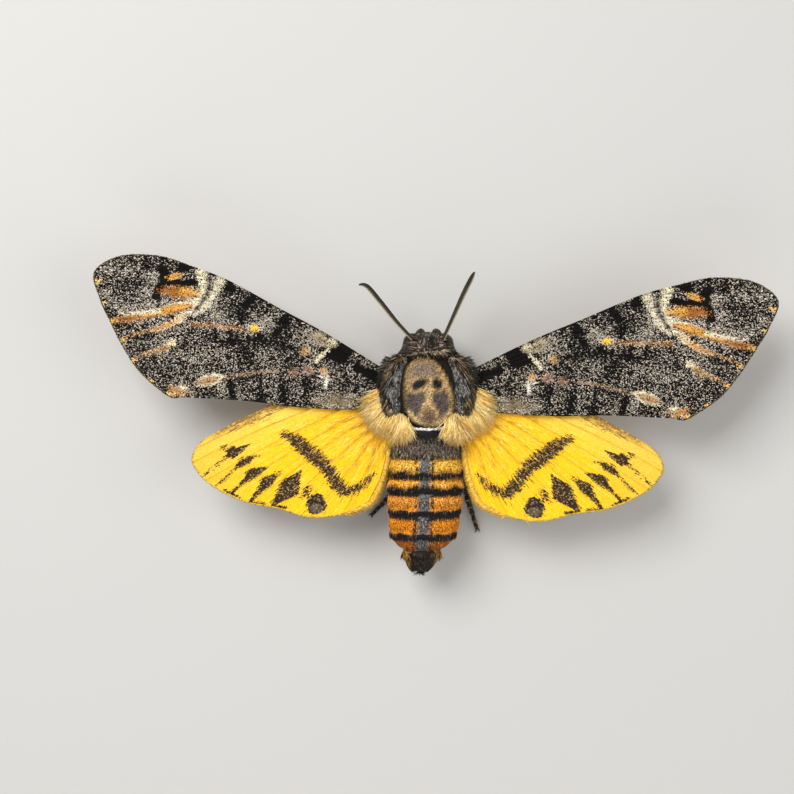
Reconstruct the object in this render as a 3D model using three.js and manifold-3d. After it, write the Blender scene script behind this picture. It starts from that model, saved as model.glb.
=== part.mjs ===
// A death's-head hawkmoth, life size, standing on its six feet with the four wings spread flat.
// Units are millimetres. +X is the moth's right, +Y points to the head and +Z is up.
// The feet stand on Z = 0, and the whole is moved so that its box is centred over the origin.
import * as THREE from "three";
import { mergeVertices } from "three/addons/utils/BufferGeometryUtils.js";
import Module from "manifold-3d";

const wasm = await Module();
wasm.setup();

// Driving dimensions.
const GAP = 0.3; // clearance kept between neighbouring pieces
const BODY_SIDES = 28; // facets round the head, thorax and abdomen
const LIMB_SIDES = 7; // facets round a leg or an antenna
const FOREWING_LEVEL = 11.7; // height of the forewing's root over the floor
const HINDWING_LEVEL = 10.3; // height of the hindwing's root over the floor
const WING_RISE = 0.035; // how much the wings climb for each millimetre outwards
const WING_THICKNESS = 0.56;
const VEIN_HALF_WIDTH = 0.42;
const VEIN_HEIGHT = 0.24;
const WING_HINGE = { x: 7.4, y: 2.0 };
const RIGHT_FOREWING_SWEEP = -6; // degrees that the right forewing is set further back than the left
const RIGHT_HINDWING_SWEEP = -2.5;

const v3 = (x, y, z) => new THREE.Vector3(x, y, z);

// Solids

// A closed geometry from rings that all have the same number of points, ends filled to their centres.
function loft(rings) {
  const sides = rings[0].length;
  const positions = [];
  const index = [];
  rings.forEach((ring) => ring.forEach((p) => positions.push(p.x, p.y, p.z)));
  const centreOf = (ring) =>
    ring.reduce((sum, p) => sum.add(p), v3(0, 0, 0)).divideScalar(sides);
  const first = rings.length * sides;
  const last = first + 1;
  [rings[0], rings[rings.length - 1]].forEach((ring) => {
    const c = centreOf(ring);
    positions.push(c.x, c.y, c.z);
  });
  for (let i = 0; i + 1 < rings.length; i++)
    for (let j = 0; j < sides; j++) {
      const a = i * sides + j;
      const b = i * sides + ((j + 1) % sides);
      index.push(a, b, b + sides, a, b + sides, a + sides);
    }
  const end = (rings.length - 1) * sides;
  for (let j = 0; j < sides; j++) {
    const k = (j + 1) % sides;
    index.push(first, k, j, last, end + j, end + k);
  }
  return geometryOf(positions, index);
}

function geometryOf(positions, index) {
  const geometry = new THREE.BufferGeometry();
  geometry.setAttribute("position", new THREE.Float32BufferAttribute(positions, 3));
  geometry.setIndex(index);
  return geometry;
}

function solidOf(geometry) {
  const merged = mergeVertices(geometry, 1e-4);
  const solid = new wasm.Manifold(
    new wasm.Mesh({
      numProp: 3,
      vertProperties: new Float32Array(merged.attributes.position.array),
      triVerts: new Uint32Array(merged.index.array),
    }),
  );
  return solid;
}

// The same geometry with every face turned round, where it was made inside out.
function facingOut(geometry) {
  const p = geometry.attributes.position;
  const at = (i) => v3(p.getX(i), p.getY(i), p.getZ(i));
  const index = Array.from(geometry.index.array);
  let volume = 0;
  for (let i = 0; i < index.length; i += 3)
    volume += at(index[i]).dot(at(index[i + 1]).cross(at(index[i + 2])));
  if (volume < 0)
    for (let i = 0; i < index.length; i += 3)
      [index[i + 1], index[i + 2]] = [index[i + 2], index[i + 1]];
  geometry.setIndex(index);
  return geometry;
}

const closed = (rings) => solidOf(facingOut(loft(rings)));

const fuse = (pieces) => pieces.reduce((whole, piece) => whole.add(piece));

function largestOf(solid) {
  const bodies = solid.decompose();
  return bodies.reduce((best, b) => (b.volume() > best.volume() ? b : best));
}

// A stretch of the trunk: stations run along Y, each with its half width, top and bottom.
// power shapes the section: 2 is an ellipse and more is squarer.
function trunk(stations, grow = 0, power = 2) {
  const rings = stations.map((s, i) => {
    const end = i === 0 ? -1 : i === stations.length - 1 ? 1 : 0;
    const heading = Math.sign(stations[stations.length - 1].y - stations[0].y);
    const middle = s.middle ?? (s.top + s.bottom) / 2;
    const ring = [];
    for (let j = 0; j < BODY_SIDES; j++) {
      const a = (2 * Math.PI * j) / BODY_SIDES;
      const c = Math.sign(Math.cos(a)) * Math.abs(Math.cos(a)) ** (2 / power);
      const h = Math.sign(Math.sin(a)) * Math.abs(Math.sin(a)) ** (2 / power);
      const rise = h > 0 ? s.top + grow - middle : middle - s.bottom + grow;
      const x = (s.x ?? 0) + c * (s.half + grow);
      ring.push(v3(x, s.y + end * heading * grow, middle + h * rise));
    }
    return ring;
  });
  return closed(rings);
}

// A limb of round or flattened section along a smooth line through the given points.
function limb(points, radii, { sides = LIMB_SIDES, steps = points.length * 2, flat = 1, grow = 0 } = {}) {
  const curve = new THREE.CatmullRomCurve3(points, false, "centripetal");
  const lift = v3(0, 0, 1);
  const rings = [];
  for (let i = 0; i <= steps; i++) {
    const t = i / steps;
    const centre = curve.getPoint(t);
    const ahead = curve.getTangent(t);
    const side = v3().crossVectors(ahead, lift).normalize();
    if (side.lengthSq() < 0.5) side.set(1, 0, 0);
    const up = v3().crossVectors(side, ahead).normalize();
    const f = t * (radii.length - 1);
    const k = Math.min(Math.floor(f), radii.length - 2);
    const r = radii[k] + (radii[k + 1] - radii[k]) * (f - k) + grow;
    const ring = [];
    for (let j = 0; j < sides; j++) {
      const a = (2 * Math.PI * (j + 0.5)) / sides;
      const across = side.clone().multiplyScalar(Math.cos(a) * r);
      ring.push(centre.clone().add(across).addScaledVector(up, Math.sin(a) * r * flat));
    }
    rings.push(ring);
  }
  return closed(rings);
}

function egg(centre, radius, grow = 0) {
  const geometry = new THREE.SphereGeometry(1, 12, 9);
  geometry.deleteAttribute("normal");
  geometry.deleteAttribute("uv");
  geometry.scale(radius.x + grow, radius.y + grow, radius.z + grow);
  geometry.translate(centre.x, centre.y, centre.z);
  return solidOf(mergeVertices(geometry, 1e-4));
}

function block(low, high) {
  const geometry = new THREE.BoxGeometry(high.x - low.x, high.y - low.y, high.z - low.z);
  geometry.deleteAttribute("normal");
  geometry.deleteAttribute("uv");
  geometry.translate((low.x + high.x) / 2, (low.y + high.y) / 2, (low.z + high.z) / 2);
  return solidOf(geometry);
}

// A flat tapered lock of hair, rooted inside its body and bending down towards its tip.
function lock(root, direction, { length, width, thickness, droop = 0.6, grow = 0 }) {
  const ahead = direction.clone().normalize();
  const side = v3().crossVectors(ahead, v3(0, 0, 1)).normalize();
  const up = v3().crossVectors(side, ahead);
  const shares = [
    { along: 0, wide: 0.8 },
    { along: 0.35, wide: 1 },
    { along: 0.7, wide: 0.72 },
    { along: 1, wide: 0.14 },
  ];
  const rings = shares.map(({ along, wide }) => {
    const centre = root
      .clone()
      .addScaledVector(ahead, along * (length + grow))
      .addScaledVector(up, -droop * along * along);
    const half = (wide * width) / 2 + grow;
    const deep = (thickness / 2) * Math.max(wide, 0.3) + grow;
    return [
      [half, 0],
      [half * 0.5, deep],
      [-half * 0.5, deep],
      [-half, 0],
      [-half * 0.5, -deep],
      [half * 0.5, -deep],
    ].map(([a, b]) => centre.clone().addScaledVector(side, a).addScaledVector(up, b));
  });
  return closed(rings);
}

// Trunk: thorax, abdomen and head

const THORAX = [
  { y: 5.6, half: 3.0, top: 12.4, bottom: 6.8 },
  { y: 4.6, half: 4.9, top: 14.3, bottom: 5.6 },
  { y: 2.4, half: 6.5, top: 15.9, bottom: 4.5 },
  { y: -0.6, half: 7.1, top: 16.4, bottom: 4.2 },
  { y: -3.6, half: 6.9, top: 15.8, bottom: 4.3 },
  { y: -6.2, half: 6.2, top: 14.3, bottom: 4.8 },
  { y: -7.9, half: 5.3, top: 12.9, bottom: 5.5 },
];

// Back edges of the abdomen's rings, front to back, and the girth at each.
const ABDOMEN_START = -6.9;
const ABDOMEN_RINGS = [
  { back: -12.3, half: 6.5, height: 5.0 },
  { back: -15.7, half: 6.8, height: 5.2 },
  { back: -18.0, half: 6.8, height: 5.2 },
  { back: -21.7, half: 6.5, height: 5.0 },
  { back: -25.7, half: 5.6, height: 4.5 },
  { back: -29.0, half: 3.5, height: 3.4 },
];
const ABDOMEN_LEVEL = 9.4;
const ABDOMEN_DROOP = 1.3; // how far the tail hangs below the front
const TAIL_BEND = -1.0; // how far the tail swings to the left
const TAIL_END = -32.6;
const RING_STEP = 0.955; // girth at a ring's front edge against its back edge

function abdomenStations() {
  const stations = [];
  const station = (y, half, height) => {
    const along = (y - ABDOMEN_START) / (TAIL_END - ABDOMEN_START);
    const middle = ABDOMEN_LEVEL - ABDOMEN_DROOP * along ** 2;
    const x = TAIL_BEND * along ** 3;
    stations.push({ y, half, top: middle + height, bottom: middle - height, middle, x });
  };
  let front = { back: ABDOMEN_START, half: 5.6, height: 4.3 };
  ABDOMEN_RINGS.forEach((ring) => {
    const length = ring.back - front.back;
    const swell = (front.half * 0.35 + ring.half * 0.65) * 1.005;
    station(front.back, front.half * RING_STEP, front.height * RING_STEP);
    station(front.back + length * 0.5, swell, front.height * 0.35 + ring.height * 0.65);
    station(ring.back + 0.35, ring.half, ring.height);
    front = ring;
  });
  station(front.back, front.half * RING_STEP, front.height * 0.92);
  station(-30.6, 2.6, 2.3);
  station(TAIL_END, 1.0, 0.8);
  return stations;
}

const HEAD = [
  { y: 4.8, half: 3.8, top: 12.7, bottom: 6.3 },
  { y: 6.2, half: 4.0, top: 13.0, bottom: 6.0 },
  { y: 7.6, half: 3.6, top: 12.8, bottom: 5.9 },
  { y: 8.7, half: 2.6, top: 11.8, bottom: 6.4 },
  { y: 9.4, half: 1.5, top: 10.6, bottom: 7.6 },
];

// Locks of long hair on one side of the thorax: a fan over the wing roots and a tuft behind it.
function thoraxLocks(side, grow = 0) {
  const pieces = [];
  const FAN = 6;
  for (let i = 0; i < FAN; i++) {
    const t = i / (FAN - 1);
    const turn = THREE.MathUtils.degToRad(-2 - 68 * t);
    const root = v3(side * (5.7 - 0.5 * t), -2.2 - 3.0 * t, 13.35 - 0.15 * t);
    const way = v3(side * Math.cos(turn), Math.sin(turn), 0.02);
    pieces.push(lock(root, way, { length: 6.4 - 0.5 * t, width: 1.9, thickness: 0.9, droop: 0.25, grow }));
  }
  const TUFT = 4;
  for (let i = 0; i < TUFT; i++) {
    const t = i / (TUFT - 1);
    const root = v3(side * (5.0 - 1.8 * t), -6.1, 13.3 + 0.25 * t);
    const way = v3(side * (0.28 - 0.3 * t), -1, 0.16);
    pieces.push(lock(root, way, { length: 5.4 - 0.5 * t, width: 1.6, thickness: 0.9, droop: 0.1, grow }));
  }
  return pieces;
}

// The anal tuft: short locks that carry the tail's blunt end.
function tailLocks() {
  const pieces = [];
  const COUNT = 5;
  for (let i = 0; i < COUNT; i++) {
    const t = i / (COUNT - 1) - 0.5;
    const root = v3(TAIL_BEND * 0.75 + 2.6 * t, -29.6, 8.5 - 0.5 * Math.abs(t));
    pieces.push(
      lock(root, v3(-0.1 + 0.35 * t, -1, -0.12), {
        length: 3.3 - 1.1 * Math.abs(t),
        width: 1.5,
        thickness: 1.3,
        droop: 0.3,
      }),
    );
  }
  return pieces;
}

// Wings

// Forewing: the front and back edges from the root, and each vein as root, knee and margin end.
// start is the share of its length from which a vein stands out as its own ridge.
const FOREWING = {
  level: FOREWING_LEVEL,
  rows: [0, 0.12, 0.24, 0.36, 0.47, 0.5, 0.53, 0.65, 0.78, 0.91, 1],
  cellRow: 0.5,
  cell: [3, 6],
  bulge: 0.28,
  lines: [
    { points: [[4.4, 0.6], [16.5, 8.2], [25.5, 13.1], [33.9, 17.7], [40.0, 20.1]], start: 2 },
    { points: [[4.4, 0.2], [17.0, 7.1], [26.0, 11.8], [35.5, 17.2], [45.6, 21.9]], start: 0.3 },
    { points: [[4.4, -0.1], [17.3, 6.4], [26.3, 10.9], [36.8, 16.2], [52.3, 21.9]], start: 0.6 },
    { points: [[4.4, -0.4], [17.6, 5.7], [26.8, 9.9], [38.5, 14.8], [56.6, 19.2]], start: 0 },
    { points: [[4.4, -0.9], [17.8, 4.3], [27.3, 8.3], [39.5, 11.6], [55.6, 14.6]], start: 0.5 },
    { points: [[4.4, -1.4], [17.9, 3.0], [27.5, 6.7], [39.5, 8.7], [53.9, 10.9]], start: 0.5 },
    { points: [[4.4, -1.9], [17.8, 1.7], [27.4, 5.0], [38.6, 5.9], [51.9, 6.9]], start: 0 },
    { points: [[4.4, -2.3], [17.4, 0.9], [26.8, 3.6], [37.0, 3.4], [49.2, 2.7]], start: 0.35 },
    { points: [[4.4, -2.7], [16.5, -0.4], [25.5, 1.3], [34.5, 0.9], [45.9, -0.4]], start: 0.25 },
    { points: [[4.4, -3.1], [14.5, -2.2], [23.5, -1.5], [32.5, -1.0], [43.5, -2.0]], start: 0 },
    { points: [[4.4, -3.5], [12.8, -4.1], [22.0, -3.7], [31.0, -2.6], [42.0, -1.9]], start: 2 },
  ],
};

const HINDWING = {
  level: HINDWING_LEVEL,
  rows: [0, 0.15, 0.3, 0.44, 0.47, 0.5, 0.66, 0.84, 1],
  cellRow: 0.47,
  cell: [1, 4],
  bulge: 0.3,
  lines: [
    { points: [[4.4, -0.8], [13.0, 0.2], [22.0, -1.6], [30.5, -5.2], [38.0, -9.3]], start: 2 },
    { points: [[4.4, -1.6], [13.0, -1.9], [20.5, -4.3], [29.5, -7.9], [40.1, -13.2]], start: 0 },
    { points: [[4.4, -2.3], [12.6, -3.6], [19.5, -6.4], [28.2, -10.8], [37.9, -16.2]], start: 0.47 },
    { points: [[4.4, -3.0], [12.0, -5.1], [18.3, -8.3], [26.2, -13.1], [34.4, -18.4]], start: 0.47 },
    { points: [[4.4, -3.6], [11.2, -6.3], [16.8, -9.8], [23.6, -15.0], [30.4, -20.0]], start: 0 },
    { points: [[4.4, -4.2], [10.2, -7.5], [14.6, -11.4], [20.2, -16.4], [25.6, -20.9]], start: 0.3 },
    { points: [[4.4, -4.8], [9.2, -8.6], [12.2, -12.6], [15.9, -17.4], [20.2, -22.4]], start: 0 },
    { points: [[4.4, -5.4], [8.1, -9.2], [9.8, -13.0], [12.0, -17.3], [14.6, -21.9]], start: 0.1 },
    { points: [[4.4, -6.0], [6.9, -9.6], [7.3, -12.6], [8.2, -15.9], [10.2, -19.9]], start: 2 },
  ],
};

// Turns a point of the wing's plan about its hinge, by degrees, positive towards the head.
function swept([x, y], degrees) {
  const a = THREE.MathUtils.degToRad(degrees);
  const dx = x - WING_HINGE.x;
  const dy = y - WING_HINGE.y;
  return [
    WING_HINGE.x + dx * Math.cos(a) - dy * Math.sin(a),
    WING_HINGE.y + dx * Math.sin(a) + dy * Math.cos(a),
  ];
}

// The wing's middle surface: nearly flat, arched a little from front to back and drooping at the tip.
function wingHeight(wing, x, y, across) {
  const arch = 0.5 * Math.sin(Math.PI * across);
  return wing.level + WING_RISE * (x - WING_HINGE.x) + arch * Math.min(1, x / 25);
}

// One wing as a closed solid: columns follow the veins from the root out, so that each vein is a
// ridge of three columns in the wing's own surface. Both faces are split into the same triangles.
function wingSolid(wing, side, sweep, grow = 0) {
  const curves = wing.lines.map(
    (line) => new THREE.SplineCurve(line.points.map((p) => new THREE.Vector2(...swept(p, sweep)))),
  );
  const rows = wing.rows.map((s) => {
    const on = curves.map((curve) => curve.getPoint(s));
    const row = [];
    on.forEach((here, k) => {
      const share = k / (on.length - 1);
      const line = wing.lines[k];
      const ridge = s >= line.start - 0.02 ? VEIN_HEIGHT * (1 - 0.45 * s) : 0;
      const crossed = s === wing.cellRow && k >= wing.cell[0] && k <= wing.cell[1];
      row.push({ p: here, share, ridge: Math.max(ridge, crossed ? VEIN_HEIGHT * 0.8 : 0) });
      if (k === on.length - 1) return;
      const next = on[k + 1];
      const apart = here.distanceTo(next);
      const foot = Math.min(0.3, VEIN_HALF_WIDTH / apart);
      const inCell = s === wing.cellRow && k >= wing.cell[0] && k < wing.cell[1];
      const between = k === 0 ? [0.5, 1 - foot] : k === on.length - 2 ? [foot, 0.5] : [foot, 0.5, 1 - foot];
      between.forEach((f) => {
        const p = here.clone().lerp(next, f);
        const out = v3(next.y - here.y, here.x - next.x, 0).normalize();
        const swell = -wing.bulge * 4 * f * (1 - f) * s ** 8;
        p.x += out.x * swell;
        p.y += out.y * swell;
        row.push({ p, share: share + f / (on.length - 1), ridge: inCell ? VEIN_HEIGHT * 0.8 : 0 });
      });
    });
    return row;
  });
  const columns = rows[0].length;
  const positions = [];
  const index = [];
  [1, -1].forEach((face) =>
    rows.forEach((row) =>
      row.forEach(({ p, share, ridge }) => {
        const lift = WING_THICKNESS / 2 + grow + (face > 0 ? ridge : ridge * 0.6);
        positions.push(side * p.x, p.y, wingHeight(wing, p.x, p.y, share) + face * lift);
      }),
    ),
  );
  const under = rows.length * columns;
  const at = (r, c) => r * columns + c;
  for (let r = 0; r + 1 < rows.length; r++)
    for (let c = 0; c + 1 < columns; c++) {
      const [a, b, d, e] = [at(r, c), at(r, c + 1), at(r + 1, c + 1), at(r + 1, c)];
      index.push(a, b, d, a, d, e);
      index.push(under + a, under + d, under + b, under + a, under + e, under + d);
    }
  const rim = [];
  for (let c = 0; c < columns; c++) rim.push(at(0, c));
  for (let r = 1; r < rows.length; r++) rim.push(at(r, columns - 1));
  for (let c = columns - 2; c >= 0; c--) rim.push(at(rows.length - 1, c));
  for (let r = rows.length - 2; r > 0; r--) rim.push(at(r, 0));
  rim.forEach((a, i) => {
    const b = rim[(i + 1) % rim.length];
    index.push(a, under + a, under + b, a, under + b, b);
  });
  return solidOf(facingOut(geometryOf(positions, index)));
}

// Legs, from hip to claws

const LEGS = {
  fore: {
    hip: [2.3, 3.9, 6.2],
    knee: [5.6, 1.4, 3.1],
    ankle: [4.5, 4.6, 1.3],
    toe: { left: [2.7, 8.4], right: [2.7, 8.4] },
    thick: [1.25, 0.95, 0.6],
  },
  mid: {
    hip: [3.4, -1.2, 6.0],
    knee: [9.2, -2.6, 4.6],
    ankle: [12.6, -6.0, 1.4],
    toe: { left: [17.2, -8.8], right: [17.2, -8.8] },
    thick: [1.3, 1.0, 0.65],
  },
  hind: {
    hip: [3.0, -5.2, 6.2],
    knee: [7.6, -10.6, 4.3],
    ankle: [6.6, -19.4, 1.5],
    toe: { left: [10.0, -22.8], right: [8.4, -25.2] },
    thick: [1.3, 1.0, 0.65],
  },
};
const TOE_RADIUS = 0.46;

function legSolid(leg, side, sideName) {
  const place = ([x, y, z]) => v3(side * x, y, z);
  const hip = place(leg.hip);
  const knee = place(leg.knee);
  const ankle = place(leg.ankle);
  const toe = place([...leg.toe[sideName], 0.3]);
  const [thigh, shin, foot] = leg.thick;
  const heel = ankle.clone().lerp(toe, 0.32).setZ(0.42);
  const ahead = toe.clone().sub(heel).normalize();
  const pieces = [
    limb([hip, knee], [thigh, thigh, shin * 0.95], { steps: 3 }),
    limb([knee, ankle], [shin, shin * 0.9, foot], { steps: 2 }),
    limb([ankle, heel, toe], [foot, 0.52, TOE_RADIUS], { steps: 4 }),
  ];
  const shinWay = ankle.clone().sub(knee).normalize();
  const outward = v3(side * 0.55, 0, -0.1);
  [1, -1].forEach((way) => {
    const spurTip = ankle.clone().addScaledVector(shinWay, 1.2).addScaledVector(outward, way * 1.5);
    spurTip.z = Math.max(spurTip.z, 0.5);
    pieces.push(limb([ankle, spurTip], [0.36, 0.1], { steps: 1, sides: 4 }));
    const across = v3(-ahead.y, ahead.x, 0).multiplyScalar(way * 0.5);
    const clawTip = toe.clone().addScaledVector(ahead, 1.1).add(across).setZ(0.3);
    pieces.push(limb([toe, clawTip], [0.34, 0.1], { steps: 1, sides: 4 }));
  });
  return fuse(pieces);
}

// Head parts

const EYE = { centre: [3.05, 7.3, 9.2], radius: v3(1.35, 1.5, 2.1) };
const ANTENNAE = {
  left: [[-2.5, 7.7, 12.0], [-5.2, 10.6, 13.0], [-8.1, 14.2, 13.6], [-10.3, 16.7, 13.8], [-11.9, 16.9, 13.7]],
  right: [[2.5, 7.5, 12.0], [4.2, 11.2, 13.0], [6.1, 15.4, 13.6], [7.4, 18.0, 13.8], [8.0, 19.2, 13.6]],
};
const ANTENNA_RADII = [0.3, 0.33, 0.38, 0.36, 0.1];

function palp(side) {
  const points = [v3(side * 1.3, 6.5, 5.6), v3(side * 1.45, 8.8, 5.7), v3(side * 1.2, 9.6, 7.3)];
  return limb(points, [0.9, 1.0, 0.8, 0.4], { steps: 6 });
}

// The short tongue, rolled up under the head between the palps.
function proboscis(grow = 0) {
  const coil = [v3(0, 7.4, 6.6)];
  const TURN_STEPS = 8;
  for (let i = 0; i <= TURN_STEPS; i++) {
    const t = i / TURN_STEPS;
    const a = THREE.MathUtils.degToRad(60 - 320 * t);
    const r = 1.35 - 0.5 * t;
    coil.push(v3(0, 7.0 + r * Math.cos(a), 4.3 + r * Math.sin(a)));
  }
  return limb(coil, [0.42, 0.42, 0.36, 0.28], { steps: 14, sides: 6, grow });
}

// Tegulae and collar: lobes that lie on the thorax

function tegula(side, grow = 0) {
  const points = [
    v3(side * 4.4, 4.6, 13.6),
    v3(side * 5.9, 2.2, 14.2),
    v3(side * 6.5, -1.0, 14.2),
    v3(side * 6.3, -3.6, 13.7),
    v3(side * 5.9, -5.9, 13.4),
  ];
  return limb(points, [0.9, 1.55, 1.75, 1.5, 0.4], { steps: 8, sides: 10, flat: 0.72, grow });
}

function collar(grow = 0) {
  const points = [];
  for (let i = 0; i <= 8; i++) {
    const a = THREE.MathUtils.degToRad(14 + (152 * i) / 8);
    points.push(v3(5.1 * Math.cos(a), 5.2, 8.4 + 5.4 * Math.sin(a)));
  }
  return limb(points, [0.5, 1.1, 1.25, 1.25, 1.1, 0.5], { steps: 14, sides: 8, flat: 1, grow });
}

// Assembly

const COLOURS = {
  thorax: 0x6b5a3e,
  collar: 0x38342f,
  tegula: 0x41474b,
  abdomen: 0xc98f2c,
  head: 0x453a33,
  eye: 0x17120f,
  antenna: 0x3a3526,
  mouth: 0x4b3e33,
  forewing: 0x3a3836,
  hindwing: 0xe8b52e,
  leg: 0x2c2520,
};

function finish(solid, name, colour, roughness = 0.85) {
  const mesh = largestOf(solid).getMesh();
  const positions = [];
  for (let i = 0; i < mesh.numVert; i++)
    positions.push(...mesh.vertProperties.subarray(i * mesh.numProp, i * mesh.numProp + 3));
  const geometry = geometryOf(positions, Array.from(mesh.triVerts));
  geometry.computeVertexNormals();
  const material = new THREE.MeshStandardMaterial({ color: colour, roughness, metalness: 0 });
  const made = new THREE.Mesh(geometry, material);
  made.name = name;
  return made;
}

const moth = new THREE.Group();
const SIDES = { left: -1, right: 1 };
const belowFloor = block(v3(-90, -90, -5), v3(90, 90, 0));

const thoraxCore = trunk(THORAX);
const thoraxClear = trunk(THORAX, GAP);
const headCore = trunk(HEAD, 0, 2.2);
const headClear = trunk(HEAD, GAP, 2.2);
const abdomenClear = trunk(abdomenStations(), GAP);
const collarPiece = collar().subtract(thoraxClear);
const collarClear = collar(GAP);

moth.add(
  finish(
    fuse([thoraxCore, ...thoraxLocks(-1), ...thoraxLocks(1)]),
    "thorax",
    COLOURS.thorax,
  ),
);
moth.add(finish(collarPiece, "collar", COLOURS.collar));
const locksClear = fuse([...thoraxLocks(-1, GAP), ...thoraxLocks(1, GAP)]);
const abdomenPiece = fuse([trunk(abdomenStations()), ...tailLocks()])
  .subtract(thoraxClear)
  .subtract(locksClear);
moth.add(finish(abdomenPiece, "abdomen", COLOURS.abdomen));

let headPiece = headCore.subtract(thoraxClear).subtract(collarClear);
for (const [sideName, side] of Object.entries(SIDES)) {
  const [x, y, z] = EYE.centre;
  const centre = v3(side * x, y, z);
  headPiece = headPiece.subtract(egg(centre, EYE.radius, GAP));
  const eye = egg(centre, EYE.radius).subtract(collarClear);
  moth.add(finish(eye, `eye_${sideName}`, COLOURS.eye, 0.2));

  const feelerLine = ANTENNAE[sideName].map((p) => v3(...p));
  const antenna = limb(feelerLine, ANTENNA_RADII, { steps: 14, sides: 6 }).subtract(headClear);
  moth.add(finish(antenna, `antenna_${sideName}`, COLOURS.antenna));

  const feeler = palp(side).subtract(headClear).subtract(proboscis(GAP));
  moth.add(finish(feeler, `palp_${sideName}`, COLOURS.mouth));

  const foreSweep = side > 0 ? RIGHT_FOREWING_SWEEP : 0;
  const hindSweep = side > 0 ? RIGHT_HINDWING_SWEEP : 0;
  const forewing = wingSolid(FOREWING, side, foreSweep).subtract(thoraxClear);
  const hindwing = wingSolid(HINDWING, side, hindSweep)
    .subtract(thoraxClear)
    .subtract(abdomenClear);
  moth.add(finish(forewing, `forewing_${sideName}`, COLOURS.forewing));
  moth.add(finish(hindwing, `hindwing_${sideName}`, COLOURS.hindwing));

  const shoulder = tegula(side)
    .subtract(thoraxClear)
    .subtract(collarClear)
    .subtract(locksClear)
    .subtract(wingSolid(FOREWING, side, foreSweep, GAP));
  moth.add(finish(shoulder, `tegula_${sideName}`, COLOURS.tegula));

  for (const [pair, leg] of Object.entries(LEGS)) {
    const made = legSolid(leg, side, sideName)
      .subtract(thoraxClear)
      .subtract(abdomenClear)
      .subtract(belowFloor);
    moth.add(finish(made, `leg_${pair}_${sideName}`, COLOURS.leg));
  }
}
moth.add(finish(headPiece, "head", COLOURS.head));
moth.add(finish(proboscis().subtract(headClear), "proboscis", COLOURS.mouth));

const box = new THREE.Box3().setFromObject(moth, true);
moth.position.set(-(box.min.x + box.max.x) / 2, -(box.min.y + box.max.y) / 2, 0);

export default moth;
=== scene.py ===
"""A death's-head hawkmoth, life size, standing with its four wings spread, seen from above."""

import math

import bpy
import numpy as np
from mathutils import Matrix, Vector


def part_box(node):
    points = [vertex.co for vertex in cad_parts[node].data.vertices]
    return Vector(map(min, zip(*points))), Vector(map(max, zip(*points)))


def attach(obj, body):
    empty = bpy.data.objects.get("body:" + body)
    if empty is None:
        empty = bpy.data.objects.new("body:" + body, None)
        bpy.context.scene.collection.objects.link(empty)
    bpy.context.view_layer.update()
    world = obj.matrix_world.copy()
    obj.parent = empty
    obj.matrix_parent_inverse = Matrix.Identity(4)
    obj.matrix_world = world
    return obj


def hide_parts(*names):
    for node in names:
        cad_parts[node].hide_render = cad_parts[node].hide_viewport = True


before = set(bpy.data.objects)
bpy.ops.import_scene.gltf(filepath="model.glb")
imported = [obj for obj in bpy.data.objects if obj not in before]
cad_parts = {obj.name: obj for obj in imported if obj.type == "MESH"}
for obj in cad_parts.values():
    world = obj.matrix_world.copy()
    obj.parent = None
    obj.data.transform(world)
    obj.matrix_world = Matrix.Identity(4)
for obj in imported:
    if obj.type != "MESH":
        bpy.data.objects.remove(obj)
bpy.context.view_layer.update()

# Camera
# It looks down on the moth from about 23 cm, with the head to the top of the picture, and it
# leans a little so that the right wings come out slightly larger than the left.
MM = 0.001
VIEW_CENTRE = Vector((-6.0, 3.3, 12.0)) * MM
VIEW_WIDTH = 135 * MM
VIEW_LEAN = math.radians(2.6)

camera_data = bpy.data.cameras.new("camera")
camera_data.lens = 60
camera_data.sensor_width = 36
camera_data.clip_start = 0.005
camera_distance = VIEW_WIDTH * camera_data.lens / camera_data.sensor_width
view_direction = Vector((-math.sin(VIEW_LEAN), 0, -math.cos(VIEW_LEAN)))
camera = bpy.data.objects.new("camera", camera_data)
camera.location = VIEW_CENTRE - view_direction * camera_distance
camera.rotation_euler = (0, VIEW_LEAN, 0)
bpy.context.scene.collection.objects.link(camera)
bpy.context.scene.camera = camera

# Wings
# Each wing is a dry membrane on branching veins, covered on both faces by flat powdery scales. The
# forewing hinges at the side of the thorax and overlaps the front edge of the hindwing below it.
midline = (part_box("eye_left")[0].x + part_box("eye_right")[1].x) / 2
HEAD_REACH = 9.4 * MM
origin_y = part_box("head")[1].y - HEAD_REACH
SIDES = {"left": -1, "right": 1}
WING_HINGE = np.array((7.4, 2.0))
WING_RISE = 0.035
MEMBRANE = 0.16 * MM
VEIN_THICKNESS = 0.44 * MM

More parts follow.
